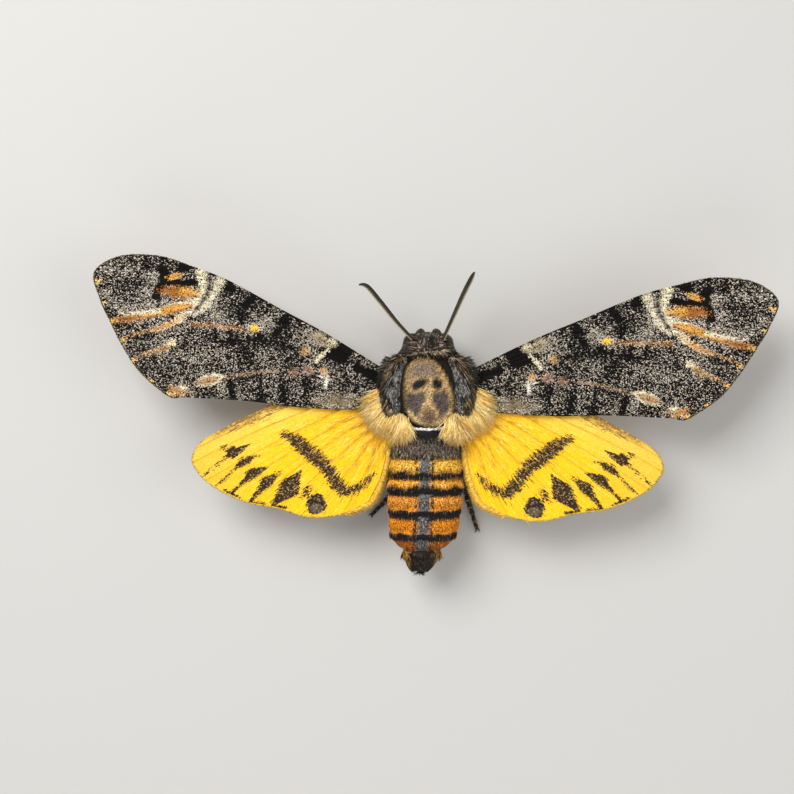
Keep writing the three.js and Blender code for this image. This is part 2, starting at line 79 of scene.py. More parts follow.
# Plans are in millimetres, from the body's midline outwards and from the wings' roots to the head.
FOREWING = {
    "node": "forewing",
    "level": 11.7,
    "turn": {"left": 0.0, "right": -6.0},
    "veins": [
        [(4.4, 0.6), (16.5, 8.2), (25.5, 13.1), (33.9, 17.7), (40.0, 20.1)],
        [(4.4, 0.2), (17.0, 7.1), (26.0, 11.8), (35.5, 17.2), (45.6, 21.9)],
        [(4.4, -0.1), (17.3, 6.4), (26.3, 10.9), (36.8, 16.2), (52.3, 21.9)],
        [(4.4, -0.4), (17.6, 5.7), (26.8, 9.9), (38.5, 14.8), (56.6, 19.2)],
        [(4.4, -0.9), (17.8, 4.3), (27.3, 8.3), (39.5, 11.6), (55.6, 14.6)],
        [(4.4, -1.4), (17.9, 3.0), (27.5, 6.7), (39.5, 8.7), (53.9, 10.9)],
        [(4.4, -1.9), (17.8, 1.7), (27.4, 5.0), (38.6, 5.9), (51.9, 6.9)],
        [(4.4, -2.3), (17.4, 0.9), (26.8, 3.6), (37.0, 3.4), (49.2, 2.7)],
        [(4.4, -2.7), (16.5, -0.4), (25.5, 1.3), (34.5, 0.9), (45.9, -0.4)],
        [(4.4, -3.1), (14.5, -2.2), (23.5, -1.5), (32.5, -1.0), (43.5, -2.0)],
        [(4.4, -3.5), (12.8, -4.1), (22.0, -3.7), (31.0, -2.6), (42.0, -1.9)],
    ],
}
HINDWING = {
    "node": "hindwing",
    "level": 10.3,
    "turn": {"left": 0.0, "right": -2.5},
    "veins": [
        [(4.4, -0.8), (13.0, 0.2), (22.0, -1.6), (30.5, -5.2), (37.5, -8.85)],
        [(4.4, -1.2), (13.0, -0.8), (21.4, -2.9), (30.4, -6.3), (39.4, -10.6)],
        [(4.4, -1.6), (13.0, -1.9), (20.5, -4.3), (29.5, -7.9), (40.1, -13.1)],
        [(4.4, -2.3), (12.6, -3.6), (19.5, -6.4), (28.2, -10.8), (37.9, -16.2)],
        [(4.4, -3.0), (12.0, -5.1), (18.3, -8.3), (26.2, -13.1), (34.4, -18.4)],
        [(4.4, -3.6), (11.2, -6.3), (16.8, -9.8), (23.6, -15.0), (30.4, -20.0)],
        [(4.4, -4.2), (10.2, -7.5), (14.6, -11.4), (20.2, -16.4), (25.6, -20.9)],
        [(4.4, -4.8), (9.2, -8.6), (12.2, -12.6), (15.9, -17.4), (20.2, -22.4)],
        [(4.4, -5.4), (8.1, -9.2), (9.8, -13.0), (12.0, -17.3), (14.6, -21.9)],
        [(4.4, -6.0), (6.9, -9.6), (7.3, -12.6), (8.2, -15.9), (10.2, -19.9)],
    ],
}


def along(points, share):
    """The smooth line through the points, at each share of the way from first to last."""
    points = np.asarray(points, float)
    last = len(points) - 1
    place = np.clip(np.asarray(share, float) * last, 0, last - 1e-9)
    i = place.astype(int)
    f = (place - i).reshape(i.shape + (1,) * (points.ndim - 1))
    a, b, c, d = (points[np.clip(i + k, 0, last)] for k in (-1, 0, 1, 2))
    return b + 0.5 * f * (c - a + f * (2 * a - 5 * b + 4 * c - d + f * (3 * (b - c) + d - a)))


def turned(plan, degrees):
    """A wing's plan turned about its hinge, positive towards the head."""
    a = math.radians(degrees)
    away = plan - WING_HINGE
    x = away[..., 0] * math.cos(a) - away[..., 1] * math.sin(a)
    y = away[..., 0] * math.sin(a) + away[..., 1] * math.cos(a)
    return WING_HINGE + np.stack((x, y), -1)


def wing_point(wing, side, plan, across):
    """Places on the middle of a wing's thickness, from its plan, in metres in the model's frame."""
    plan = turned(plan, wing["turn"][side])
    arch = 0.5 * np.sin(np.pi * across) * np.minimum(1, plan[..., 0] / 25)
    height = wing["level"] + WING_RISE * (plan[..., 0] - WING_HINGE[0]) + arch
    x = midline + SIDES[side] * plan[..., 0] * MM
    return np.stack((x, origin_y + plan[..., 1] * MM, height * MM), -1)


def deselect_all():
    for ob in bpy.context.selected_objects:
        ob.select_set(False)


def make_active(ob):
    """Selects this object alone, for the operators that work on the active object."""
    deselect_all()
    bpy.context.view_layer.objects.active = ob
    ob.select_set(True)


def finish_modifiers(ob):
    """Makes every modifier of the object part of its mesh."""
    make_active(ob)
    for modifier in list(ob.modifiers):
        bpy.ops.object.modifier_apply(modifier=modifier.name)


def read_vertices(mesh, name="co"):
    """Where each point of a mesh is or, with "normal", which way it faces, one row a point."""
    values = np.empty(len(mesh.vertices) * 3)
    mesh.vertices.foreach_get(name, values)
    return values.reshape(-1, 3)


def write_attribute(mesh, name, kind, values):
    """Gives every point of a mesh its own value, for the finishes to read."""
    slot = {"FLOAT": "value", "FLOAT_VECTOR": "vector", "FLOAT_COLOR": "color"}[kind]
    mesh.attributes.new(name, kind, "POINT").data.foreach_set(slot, values.ravel())


# The sheet's grid: columns between each two veins, and rows from the root to the margin.
COLUMNS_PER_GAP = 14
WING_ROWS = 180
# In millimetres: how far a vein's swelling reaches, and how deep the sheet is pleated between veins.
VEIN_WIDTH = 0.2
PLEAT_DEPTH = 0.10


def make_wing(wing, side, pattern):
    """A thin closed sheet, thicker along its veins, that carries its own plan and its marks."""
    gaps = len(wing["veins"]) - 1
    deselect_all()
    bpy.ops.mesh.primitive_grid_add(
        x_subdivisions=gaps * COLUMNS_PER_GAP, y_subdivisions=WING_ROWS, size=1
    )
    ob = bpy.context.object
    ob.name = f"{wing['node']}_{side}_scaled"
    mesh = ob.data
    grid = read_vertices(mesh)[:, :2] + 0.5
    columns = np.unique(np.round(grid[:, 0], 6))
    rows = np.unique(np.round(grid[:, 1], 6))
    # Columns crowd towards the veins, where the sheet turns up.
    interval = np.floor(columns * gaps * 0.999999)
    within = columns * gaps - interval
    crowded = (interval + within - 0.85 * np.sin(2 * np.pi * within) / (2 * np.pi)) / gaps
    vein_lines = np.array([along(vein, rows) for vein in wing["veins"]])
    plan = along(vein_lines, crowded)
    spacing = np.linalg.norm(np.diff(vein_lines, axis=0), axis=-1)
    gap_width = spacing[np.minimum(interval, gaps - 1).astype(int)]
    to_vein = np.minimum(within, 1 - within)[:, None] * gap_width
    vein = np.exp(-((to_vein / VEIN_WIDTH) ** 2)) * (1 - 0.5 * rows[None, :])
    narrow = np.minimum(spacing.mean(0) / 2, 1)[None, :]
    pleat = PLEAT_DEPTH * np.cos(2 * np.pi * within)[:, None] * narrow
    column = np.searchsorted(columns, np.round(grid[:, 0], 6))
    row = np.searchsorted(rows, np.round(grid[:, 1], 6))
    place = wing_point(wing, side, plan, crowded[:, None])
    place[..., 2] += pleat * MM
    mesh.vertices.foreach_set("co", place[column, row].ravel())
    flat = np.column_stack((plan[column, row], crowded[column]))
    write_attribute(mesh, "wing_plan", "FLOAT_VECTOR", flat)
    pattern(flat[:, :2]).write(mesh)
    write_attribute(mesh, "vein", "FLOAT", vein[column, row])
    thick = ob.vertex_groups.new(name="thick")
    for i, weight in enumerate(vein[column, row]):
        thick.add((i,), float(weight), "REPLACE")
    if SIDES[side] < 0:
        mesh.flip_normals()
    solid = ob.modifiers.new("solid", "SOLIDIFY")
    solid.thickness = VEIN_THICKNESS
    solid.offset = 0
    solid.vertex_group = "thick"
    solid.thickness_vertex_group = MEMBRANE / VEIN_THICKNESS
    finish_modifiers(ob)
    bpy.ops.object.shade_smooth_by_angle(angle=math.radians(40))
    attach(ob, "root")
    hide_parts(f"{wing['node']}_{side}")
    return ob


def paint(code):
    """A colour written as on screen, such as e0a030, turned to the linear values of a shader."""
    levels = [int(code[i : i + 2], 16) / 255 for i in (0, 2, 4)]
    linear = [v / 12.92 if v <= 0.04045 else ((v + 0.055) / 1.055) ** 2.4 for v in levels]
    return (*linear, 1.0)


def set_input(tree, socket, value):
    """Joins a socket to another's output, or gives it a fixed value."""
    if isinstance(value, bpy.types.NodeSocket):
        tree.links.new(value, socket)
    elif value is not None:
        socket.default_value = value


def maths(tree, operation, *values):
    made = tree.nodes.new("ShaderNodeMath")
    made.operation = operation
    for socket, value in zip(made.inputs, values):
        set_input(tree, socket, value)
    return made.outputs[0]


def stretch(tree, place, by):
    """A place with each of its three numbers multiplied by another."""
    made = tree.nodes.new("ShaderNodeVectorMath")
    made.operation = "MULTIPLY"
    set_input(tree, made.inputs[0], place)
    set_input(tree, made.inputs[1], by)
    return made.outputs["Vector"]


def fade(tree, value, start, end, low=0.0, high=1.0):
    """Goes smoothly from low to high as the value goes from start to end."""
    made = tree.nodes.new("ShaderNodeMapRange")
    made.interpolation_type = "SMOOTHSTEP"
    names = ("Value", "From Min", "From Max", "To Min", "To Max")
    for name, given in zip(names, (value, start, end, low, high)):
        set_input(tree, made.inputs[name], given)
    return made.outputs["Result"]


def lay(tree, under, over, mask, mode="MIX", kind="RGBA"):
    """One colour, or value, laid over another where the mask is."""
    made = tree.nodes.new("ShaderNodeMix")
    made.data_type = kind
    made.blend_type = mode
    for name, given in (("Factor", mask), ("A", under), ("B", over)):
        set_input(tree, made.inputs[name], given)
    return made.outputs["Result"]


def lay_value(tree, under, over, mask):
    return lay(tree, under, over, mask, kind="FLOAT")


def noise(tree, where, scale, detail=2.0, roughness=0.5):
    made = tree.nodes.new("ShaderNodeTexNoise")
    set_input(tree, made.inputs["Vector"], where)
    made.inputs["Scale"].default_value = scale
    made.inputs["Detail"].default_value = detail
    made.inputs["Roughness"].default_value = roughness
    return made.outputs["Fac"]


def add_bump(tree, shader, height, strength, depth):
    """Fine relief in a finish, as deep as the given millimetres."""
    bump = tree.nodes.new("ShaderNodeBump")
    bump.inputs["Strength"].default_value = strength
    bump.inputs["Distance"].default_value = depth * MM
    tree.links.new(height, bump.inputs["Height"])
    tree.links.new(bump.outputs[0], shader.inputs["Normal"])


def new_group(name, inputs, outputs):
    """An empty shader group with the named sockets, and its own input and output nodes."""
    group = bpy.data.node_groups.new(name, "ShaderNodeTree")
    for socket_name, kind, value in inputs:
        socket = group.interface.new_socket(name=socket_name, in_out="INPUT", socket_type=kind)
        if value is not None:
            socket.default_value = value
    for socket_name, kind in outputs:
        group.interface.new_socket(name=socket_name, in_out="OUTPUT", socket_type=kind)
    given = group.nodes.new("NodeGroupInput").outputs
    result = group.nodes.new("NodeGroupOutput").inputs
    return group, given, result


def use_group(tree, group, **values):
    made = tree.nodes.new("ShaderNodeGroup")
    made.node_tree = group
    for name, value in values.items():
        set_input(tree, made.inputs[name.replace("_", " ")], value)
    return made.outputs


FLOAT, VECTOR = "NodeSocketFloat", "NodeSocketVector"

# Single wing scales: a random number for each, and a small dome for the relief. Rows run across
# the wing, so that each scale is longer from root to margin than it is wide.
scale_rows, given, result = new_group(
    "rows of scales",
    [("Place", VECTOR, None), ("Scales Per Millimetre", FLOAT, 4.0)],
    [("Grain", FLOAT), ("Second Grain", FLOAT), ("Dome", FLOAT)],
)
cells = scale_rows.nodes.new("ShaderNodeTexVoronoi")
cells.feature = "F1"
stretched = stretch(scale_rows, given["Place"], (0.75, 1.0, 1.0))
scale_rows.links.new(stretched, cells.inputs["Vector"])
scale_rows.links.new(given["Scales Per Millimetre"], cells.inputs["Scale"])
cells.inputs["Randomness"].default_value = 0.9
parts = scale_rows.nodes.new("ShaderNodeSeparateColor")
scale_rows.links.new(cells.outputs["Color"], parts.inputs[0])
scale_rows.links.new(parts.outputs[0], result["Grain"])
scale_rows.links.new(parts.outputs[1], result["Second Grain"])
scale_rows.links.new(fade(scale_rows, cells.outputs["Distance"], 0.7, 0.0), result["Dome"])


def new_material(name):
    made = bpy.data.materials.new(name)
    made.use_nodes = True
    tree = made.node_tree
    shader = tree.nodes["Principled BSDF"]
    return made, tree, shader


def attribute(tree, name, output="Vector"):
    made = tree.nodes.new("ShaderNodeAttribute")
    made.attribute_name = name
    return made.outputs[output]


def salt_and_pepper(tree, flat, density, dark, pale):
    """Black ground dusted with pale scales; density is the share of scales that are pale."""
    scales = use_group(tree, scale_rows, Place=flat, Scales_Per_Millimetre=7.6)
    clumps = noise(tree, flat, 4.2, 2.0)
    chance = maths(tree, "SUBTRACT", density, scales["Grain"])
    chance = maths(tree, "ADD", chance, fade(tree, clumps, 0.35, 0.65, -0.10, 0.10))
    lit = fade(tree, chance, -0.03, 0.10)
    lit = maths(tree, "MULTIPLY", lit, lay_value(tree, 0.35, 1.0, scales["Second Grain"]))
    return lay(tree, paint(dark), paint(pale), lit), scales


def pale_below(tree, colour, below):
    """The under face, told by the side that the surface faces in the model's own frame."""
    facing = tree.nodes.new("ShaderNodeTexCoord").outputs["Normal"]
    split = tree.nodes.new("ShaderNodeSeparateXYZ")
    tree.links.new(facing, split.inputs[0])
    return lay(tree, colour, below, fade(tree, split.outputs["Z"], 0.05, -0.05))


def scale_relief(tree, shader, scales, strength):
    """Fine overlapping scales as bump, with a dry, faintly silky finish."""
    add_bump(tree, shader, lay_value(tree, scales["Dome"], scales["Second Grain"], 0.35), strength, 0.04)
    rough = fade(tree, scales["Second Grain"], 0.0, 1.0, 0.55, 0.9)
    tree.links.new(rough, shader.inputs["Roughness"])
    shader.inputs["Specular IOR Level"].default_value = 0.07
    shader.inputs["Sheen Weight"].default_value = 0.012
    shader.inputs["Sheen Roughness"].default_value = 0.5


def marked(tree, ground, scales, wander, fleck, fleck_share):
    """The wing's marks over its ground, breaking up at their edges into single scales and
    sprinkled inside with scales of a second colour."""
    level = maths(tree, "ADD", attribute(tree, "mark_depth", "Fac"), wander)
    loose = maths(tree, "MULTIPLY", maths(tree, "SUBTRACT", scales["Grain"], 0.5), 0.55)
    mask = fade(tree, maths(tree, "ADD", level, loose), -0.06, 0.14)
    flecked = fade(tree, scales["Second Grain"], 1.0 - fleck_share, 1.25 - fleck_share)
    inside = lay(tree, attribute(tree, "mark_colour", "Color"), paint(fleck), flecked)
    inside = lay(tree, inside, fade(tree, scales["Grain"], 0.0, 1.0, 0.7, 1.2), 1.0, "MULTIPLY")
    return lay(tree, ground, inside, mask)


def segment_share(points, start, end):
    """How far along the straight line from start to end each point lies, from 0 to 1."""
    run = end - start
    return np.clip((points - start) @ run / (run @ run), 0, 1)


class ScalePattern:
    """Marks laid one over another on a wing's plan: their colour, and how deep inside a mark each
    point lies, in millimetres. A ragged mark fades out over a wider edge."""

    def __init__(self, plan):
        self.plan = plan
        self.colour = np.zeros((len(plan), 4))
        self.depth = np.full(len(plan), -9.0)
        self.dust = np.zeros(len(plan))

    def oval_depth(self, centre, half_size, degrees):
        a = math.radians(degrees)
        away = self.plan - np.array(centre)
        x = away[:, 0] * math.cos(a) + away[:, 1] * math.sin(a)
        y = away[:, 1] * math.cos(a) - away[:, 0] * math.sin(a)
        reach = np.hypot(x / half_size[0], y / half_size[1])
        return (1 - reach) * min(half_size)

    def streak_depth(self, points, widths):
        depth = np.full(len(self.plan), -9.0)
        for start, end, from_width, to_width in zip(points, points[1:], widths, widths[1:]):
            start, end = np.array(start), np.array(end)
            passed = segment_share(self.plan, start, end)
            nearest = start + passed[:, None] * (end - start)
            off_line = np.linalg.norm(self.plan - nearest, axis=1)
            depth = np.maximum(depth, from_width + (to_width - from_width) * passed - off_line)
        return depth

    def cover(self, shade, depth, ragged):
        over = np.clip((depth + 0.35) / 0.45, 0, 1)
        over = np.maximum(over, (self.depth < -0.8) & (depth > -2))[:, None]
        self.colour += (np.array(paint(shade)) - self.colour) * over
        self.depth = np.maximum(self.depth, depth / ragged)

    def oval(self, shade, centre, half_size, degrees=0.0, ragged=1.0):
        self.cover(shade, self.oval_depth(centre, half_size, degrees), ragged)

    def streak(self, shade, points, widths, ragged=1.0):
        self.cover(shade, self.streak_depth(points, widths), ragged)

    def patch(self, shade, rows, grow=0.0, ragged=1.0):
        """A shape given by rows of y, left edge and right edge, from front to back."""
        y, left, right = np.array(rows[::-1]).T
        at, across = self.plan[:, 1], self.plan[:, 0]
        from_side = np.minimum(across - np.interp(at, y, left), np.interp(at, y, right) - across)
        depth = np.minimum(from_side, np.minimum(y[-1] - at, at - y[0])) + grow
        self.cover(shade, depth, ragged)

    def dusting(self, points, widths, shift):
        """Makes the pale dusting of scales thicker or, with a negative shift, thinner."""
        share = np.clip(self.streak_depth(points, widths) / 0.9 + 0.5, 0, 1)
        self.dust += (shift - self.dust) * share * share * (3 - 2 * share)

    def write(self, mesh):
        write_attribute(mesh, "mark_colour", "FLOAT_COLOR", self.colour)
        write_attribute(mesh, "mark_depth", "FLOAT", self.depth)
        write_attribute(mesh, "dust_shift", "FLOAT", self.dust)


BLACK = "0d0b0a"
CREAM = "dfd4b2"
RUST = "9a6026"
AMBER = "d89c44"


def forewing_pattern(plan):
    """The upper side's marks: places are in millimetres on the wing's own plan."""
    marks = ScalePattern(plan)
    # Blots with no pale scales along the front edge, then bars along the rear one.
    marks.dusting([(18.0, 5.6), (15.0, 5.2), (12.9, 6.6)], [0.6, 1.5, 0.7], -0.42)
    marks.dusting([(23.3, 12.0), (25.0, 10.6), (25.8, 8.6)], [0.7, 0.8, 0.5], -0.28)
    marks.dusting([(29.2, 15.3), (31.2, 13.2), (31.8, 10.8)], [0.9, 0.6, 0.4], -0.28)
    marks.dusting([(35.2, 17.6), (33.6, 16.6)], [0.7, 0.6], -0.6)
    marks.dusting([(40.8, 20.6), (42.2, 19.6)], [0.7, 0.5], -0.6)
    marks.dusting(
        [(45.4, 20.0), (44.4, 18.4), (45.2, 16.9), (46.4, 15.4)], [0.4, 0.8, 0.5, 0.7], -0.7
    )
    marks.dusting([(45.5, 18.2), (42.0, 17.2), (39.8, 17.6)], [0.4, 0.5, 0.3], -0.6)
    for x in (33.7, 28.7, 25.0, 21.0):
        marks.dusting([(x, 1.4), (x - 0.5, -2.7)], [0.3, 0.7], -0.22)
    marks.dusting([(29.6, 8.0), (24.0, 6.4)], [0.9, 0.7], -0.16)
    marks.dusting([(36.0, 10.2), (30.5, 4.4)], [1.2, 1.4], -0.2)
    marks.dusting([(12.0, 3.0), (8.5, 1.0)], [0.6, 0.8], -0.4)
    # Clouds where the pale scales lie thick.
    marks.dusting([(27.5, 10.6), (30.2, 9.2)], [1.2, 1.0], 0.25)
    marks.dusting([(20.8, 8.4), (19.4, 5.6)], [1.0, 0.8], 0.15)
    marks.dusting([(38.5, 14.2), (36.0, 11.6), (34.6, 8.2)], [0.9, 0.9, 0.7], 0.22)
    marks.dusting([(46.6, 18.8), (47.6, 15.6)], [0.8, 0.9], 0.25)
    marks.dusting([(52.6, 12.9), (47.0, 13.4)], [0.6, 0.7], 0.22)
    marks.dusting([(40.0, 5.0), (33.0, 6.2)], [1.1, 0.8], 0.05)
    # The pale double line across the wing, with a thin black one between, and the rays it sends
    # out to the margin.
    inner_line = [(35.3, 17.9), (36.0, 16.2), (36.9, 14.6), (38.2, 13.0), (39.8, 12.0)]
    outer_line = [(38.6, 19.2), (38.3, 17.8), (38.3, 16.2), (38.9, 14.8), (40.4, 12.8), (42.6, 11.4)]
    between = [(37.1, 18.4), (37.2, 16.4), (38.1, 14.6), (39.6, 12.8)]
    marks.streak("cfc4a6", inner_line, [0.85, 0.6, 0.5, 0.4, 0.3], 1.6)
    marks.streak(CREAM, outer_line, [0.85, 0.62, 0.6, 0.75, 0.55, 0.4], 1.4)
    marks.streak(BLACK, between, [0.3, 0.28, 0.24, 0.18])
    marks.oval(RUST, (42.4, 15.8), (3.3, 1.05), 5, 1.2)
    marks.oval(AMBER, (40.6, 15.9), (1.5, 0.7), 5, 1.5)
    marks.oval(AMBER, (43.2, 18.5), (1.25, 0.5), -12)
    marks.streak(CREAM, [(39.6, 14.1), (42.8, 13.4), (46.0, 12.7)], [0.5, 0.7, 0.35], 1.3)
    ray = [(40.4, 13.3), (43.4, 12.9), (47.4, 12.1), (50.6, 11.4), (53.8, 11.0)]
    marks.streak(RUST, ray, [0.35, 0.8, 0.6, 0.75, 0.35], 1.3)
    marks.streak(AMBER, [(41.0, 13.5), (44.6, 12.7), (48.5, 12.0)], [0.3, 0.45, 0.2], 1.3)
    marks.streak(CREAM, [(45.8, 12.7), (49.4, 12.3), (52.6, 12.2)], [0.3, 0.22, 0.12])
    marks.streak("d8b987", [(41.6, 11.5), (43.9, 10.3), (47.0, 9.3)], [0.45, 0.6, 0.25], 1.4)
    marks.streak("c98f4e", [(43.6, 10.5), (47.0, 9.4), (51.6, 8.2)], [0.3, 0.2, 0.1])
    marks.streak("dccba0", [(43.4, 7.2), (44.8, 6.3)], [0.55, 0.4], 1.4)
    marks.streak("a6763c", [(44.6, 6.3), (48.0, 5.3)], [0.45, 0.25], 1.3)
    marks.streak("c98f4e", [(48.0, 5.3), (50.2, 4.5)], [0.12, 0.1])
    # Thin rusty lines on either side of the cell, and the yellow dot at its end.
    front_line = [(40.2, 10.4), (35.6, 10.0), (32.4, 9.7), (29.8, 9.6)]
    rear_line = [(35.0, 1.3), (31.8, 1.7), (28.8, 2.2), (25.8, 2.4)]
    marks.streak("a9703a", front_line, [0.28, 0.2, 0.14, 0.08], 1.4)
    marks.streak("8a6a48", rear_line, [0.2, 0.16, 0.14, 0.1], 1.4)
    marks.oval("f0b93a", (29.45, 9.65), (0.72, 0.72), 0, 0.5)
    # The oval near the rear corner, and the rusty corner itself.
    marks.oval(CREAM, (37.1, 0.85), (2.3, 0.95), -14, 0.9)
    marks.oval("b08a60", (37.6, 0.75), (1.75, 0.52), -14)
    marks.oval("b07a3e", (42.7, -1.0), (1.4, 0.6), 20, 1.2)
    marks.oval(CREAM, (41.5, -0.5), (0.9, 0.35), 30, 1.2)
    # The broken zigzag across the base, and the tan dusting behind the root.
    marks.oval("75664c", (15.2, -2.8), (3.0, 1.2), 0, 3.2)
    marks.oval("a8987a", (18.4, 7.9), (1.3, 1.1), 20, 2.2)
    marks.oval("cdbf98", (16.3, 7.2), (0.8, 0.8), 0, 1.6)
    marks.streak(CREAM, [(16.9, 6.0), (18.4, 4.9), (18.9, 3.9)], [0.3, 0.4, 0.25])
    marks.oval("b88c58", (20.9, 5.8), (0.75, 0.6), 0, 1.4)
    marks.oval("a88068", (20.2, 2.4), (0.85, 0.75), 0, 1.4)
    marks.oval("8e6a50", (22.9, 2.1), (0.8, 0.5), 0, 1.7)
    marks.oval("c6965e", (17.7, 2.3), (0.6, 0.6), 0, 1.2)
    marks.streak("eee6cf", [(18.4, 1.6), (17.1, 1.0), (17.5, -0.5)], [0.3, 0.45, 0.2])
    # Yellow nicks in the outer margin, one between each two veins.
    nicks = [(56.5, 17.7), (55.6, 13.9), (53.9, 10.7), (52.3, 7.6), (50.4, 4.1), (47.5, 0.7)]
    for x, y in nicks + [(44.2, -1.6)]:
        marks.streak("e8b54c", [(x + 0.5, y - 0.1), (x - 0.9, y + 0.15)], [0.5, 0.1], 0.8)
    return marks


def hindwing_pattern(plan):
    """The brown band, an arrowhead on each vein and the round spot at the rear corner."""
    marks = ScalePattern(plan)
    dark = "35251a"
    margin_dark = "241a12"
    front_dusk = [(36.4, -8.2), (33.0, -6.4), (27.6, -4.4), (21.6, -1.4)]
    marks.streak("8a6a3a", front_dusk, [0.25, 0.9, 0.8, 0.2], 3.0)
    band = [(24.6, -8.4), (22.6, -9.6), (20.6, -11.2), (18.6, -12.8), (17.0, -14.6), (15.7, -16.7)]
    marks.streak("3a281b", band + [(14.6, -18.0)], [0.6, 1.15, 1.45, 1.35, 1.1, 1.2, 1.1], 1.3)
    band_end = [(14.6, -18.1), (12.8, -17.9), (10.9, -16.9), (9.2, -15.2)]
    marks.streak(dark, band_end, [0.95, 0.8, 0.55, 0.25], 1.3)
    # Each arrowhead runs from its point through its widest place to its neck and the end of its shaft.
    arrows = [
        ([(30.4, -10.2), (33.6, -11.6), (34.8, -12.6), (38.4, -15.5)], [0.1, 0.95, 0.22, 0.16]),
        ([(28.9, -11.9), (31.6, -13.2), (32.7, -14.1), (36.2, -17.2)], [0.1, 0.8, 0.25, 0.16]),
        ([(27.3, -13.9), (30.2, -15.3), (31.3, -16.2), (33.9, -18.8)], [0.1, 1.05, 0.35, 0.2]),
        ([(24.9, -14.7), (27.7, -16.7), (28.7, -17.8), (30.5, -20.0)], [0.1, 1.15, 0.55, 0.25]),
        ([(21.7, -14.6), (23.7, -17.5), (25.0, -18.9), (26.7, -20.6)], [0.1, 1.8, 1.1, 0.4]),
    ]
    for points, widths in arrows:
        marks.streak(dark, points, widths, 0.65)
    marks.streak(dark, [(33.4, -11.5), (35.4, -10.5)], [0.6, 0.25], 0.9)
    marks.oval("2b221d", (19.1, -20.4), (1.75, 1.85), 0, 0.7)
    marks.oval("5a5048", (19.1, -21.1), (0.9, 0.6), 0, 2.0)
    marks.oval(dark, (20.8, -18.3), (0.75, 1.0), 30, 1.6)
    marks.streak(margin_dark, [(34.8, -18.0), (32.4, -19.2)], [0.25, 0.35], 0.6)
    marks.streak(margin_dark, [(30.4, -19.9), (28.0, -20.6)], [0.25, 0.38], 0.6)
    marks.streak(margin_dark, [(26.4, -20.7), (24.4, -21.0)], [0.25, 0.35], 0.6)
    return marks


forewing_finish, tree, shader = new_material("forewing_scales")
flat = stretch(tree, attribute(tree, "wing_plan"), (1, 1, 0))
density = fade(tree, noise(tree, flat, 0.32, 3.0, 0.6), 0.30, 0.72, 0.15, 0.38)
density = maths(tree, "ADD", density, attribute(tree, "dust_shift", "Fac"))
ground, scales = salt_and_pepper(tree, flat, density, BLACK, "d7cbb8")
tan_dust = fade(tree, noise(tree, flat, 0.55, 2.0), 0.45, 0.7, 0.0, 0.3)
ground = lay(tree, ground, paint("c2a878"), tan_dust, "MULTIPLY")
wander = maths(tree, "MULTIPLY_ADD", noise(tree, flat, 2.2, 3.0), 0.8, -0.4)
upper = marked(tree, ground, scales, wander, "1a1410", 0.34)
vein = attribute(tree, "vein", "Fac")
upper = lay(tree, upper, paint("14110f"), maths(tree, "MULTIPLY", vein, 0.3))
below_cloud = fade(tree, noise(tree, flat, 0.5, 3.0), 0.35, 0.7)
below = lay(tree, paint("b98a3c"), paint("6f5431"), below_cloud)
tree.links.new(pale_below(tree, upper, below), shader.inputs["Base Color"])
scale_relief(tree, shader, scales, 0.4)

hindwing_finish, tree, shader = new_material("hindwing_scales")
plan = attribute(tree, "wing_plan")
flat = stretch(tree, plan, (1, 1, 0))
scales = use_group(tree, scale_rows, Place=flat, Scales_Per_Millimetre=6.0)
parts = tree.nodes.new("ShaderNodeSeparateXYZ")
tree.links.new(plan, parts.inputs[0])
yellow = lay(tree, paint("f3cc58"), paint("f3bf20"), fade(tree, parts.outputs["Z"], 0.05, 0.42))
yellow = lay(tree, yellow, paint("f8b80c"), fade(tree, parts.outputs["X"], 17, 7, 0.0, 0.6))
yellow = lay(tree, yellow, paint("e2b53c"), fade(tree, parts.outputs["X"], 26, 38, 0.0, 0.6))
# Hair and long scales lie from root to margin, so the yellow is streaked that way.
streaky = stretch(tree, plan, (0.12, 0.12, 60.0))
dark_streaks = fade(tree, noise(tree, streaky, 1.0, 3.0), 0.52, 0.8, 0.0, 0.5)
pale_streaks = fade(tree, noise(tree, streaky, 2.1, 2.0), 0.56, 0.8, 0.0, 0.6)
yellow = lay(tree, yellow, paint("d59418"), dark_streaks)
yellow = lay(tree, yellow, paint("ffe48a"), pale_streaks)
yellow = lay(tree, yellow, fade(tree, scales["Grain"], 0.0, 1.0, 0.84, 1.06), 1.0, "MULTIPLY")
feathered = stretch(tree, plan, (0.55, 0.55, 90.0))
wander = maths(tree, "MULTIPLY_ADD", noise(tree, feathered, 1.3, 3.0), 2.0, -1.0)
upper = marked(tree, yellow, scales, wander, "97804f", 0.3)
vein = attribute(tree, "vein", "Fac")
upper = lay(tree, upper, paint("a86c18"), maths(tree, "MULTIPLY", vein, 0.3))
below = lay(tree, upper, paint("e9bd58"), 0.55)
tree.links.new(pale_below(tree, upper, below), shader.inputs["Base Color"])
scale_relief(tree, shader, scales, 0.35)

hindwings = {}
for side in SIDES:
    forewing = make_wing(FOREWING, side, forewing_pattern)
    forewing.data.materials.append(forewing_finish)
    hindwings[side] = make_wing(HINDWING, side, hindwing_pattern)
    hindwings[side].data.materials.append(hindwing_finish)

# Body
# Head, thorax and abdomen are one shell of soft-edged rings, hidden under short hair and scales.
# The abdomen's rings overlap backwards, and the shell lies inside the hair by the coat's depth.
ABDOMEN_START = -6.9
# Each ring's rear edge, half width and half height, then the same for the tail.
ABDOMEN_RINGS = [
    (-12.3, 6.2, 4.7),
    (-15.7, 6.5, 4.9),
    (-18.0, 6.5, 4.9),
    (-21.7, 6.35, 4.75),
    (-25.7, 5.85, 4.45),
    (-29.0, 3.3, 3.0),
]
TAIL_END = -32.2
TAIL_STATIONS = [(-29.3, 3.1, 2.8), (-30.3, 2.65, 2.3), (-31.3, 2.0, 1.6), (TAIL_END, 1.0, 0.8)]
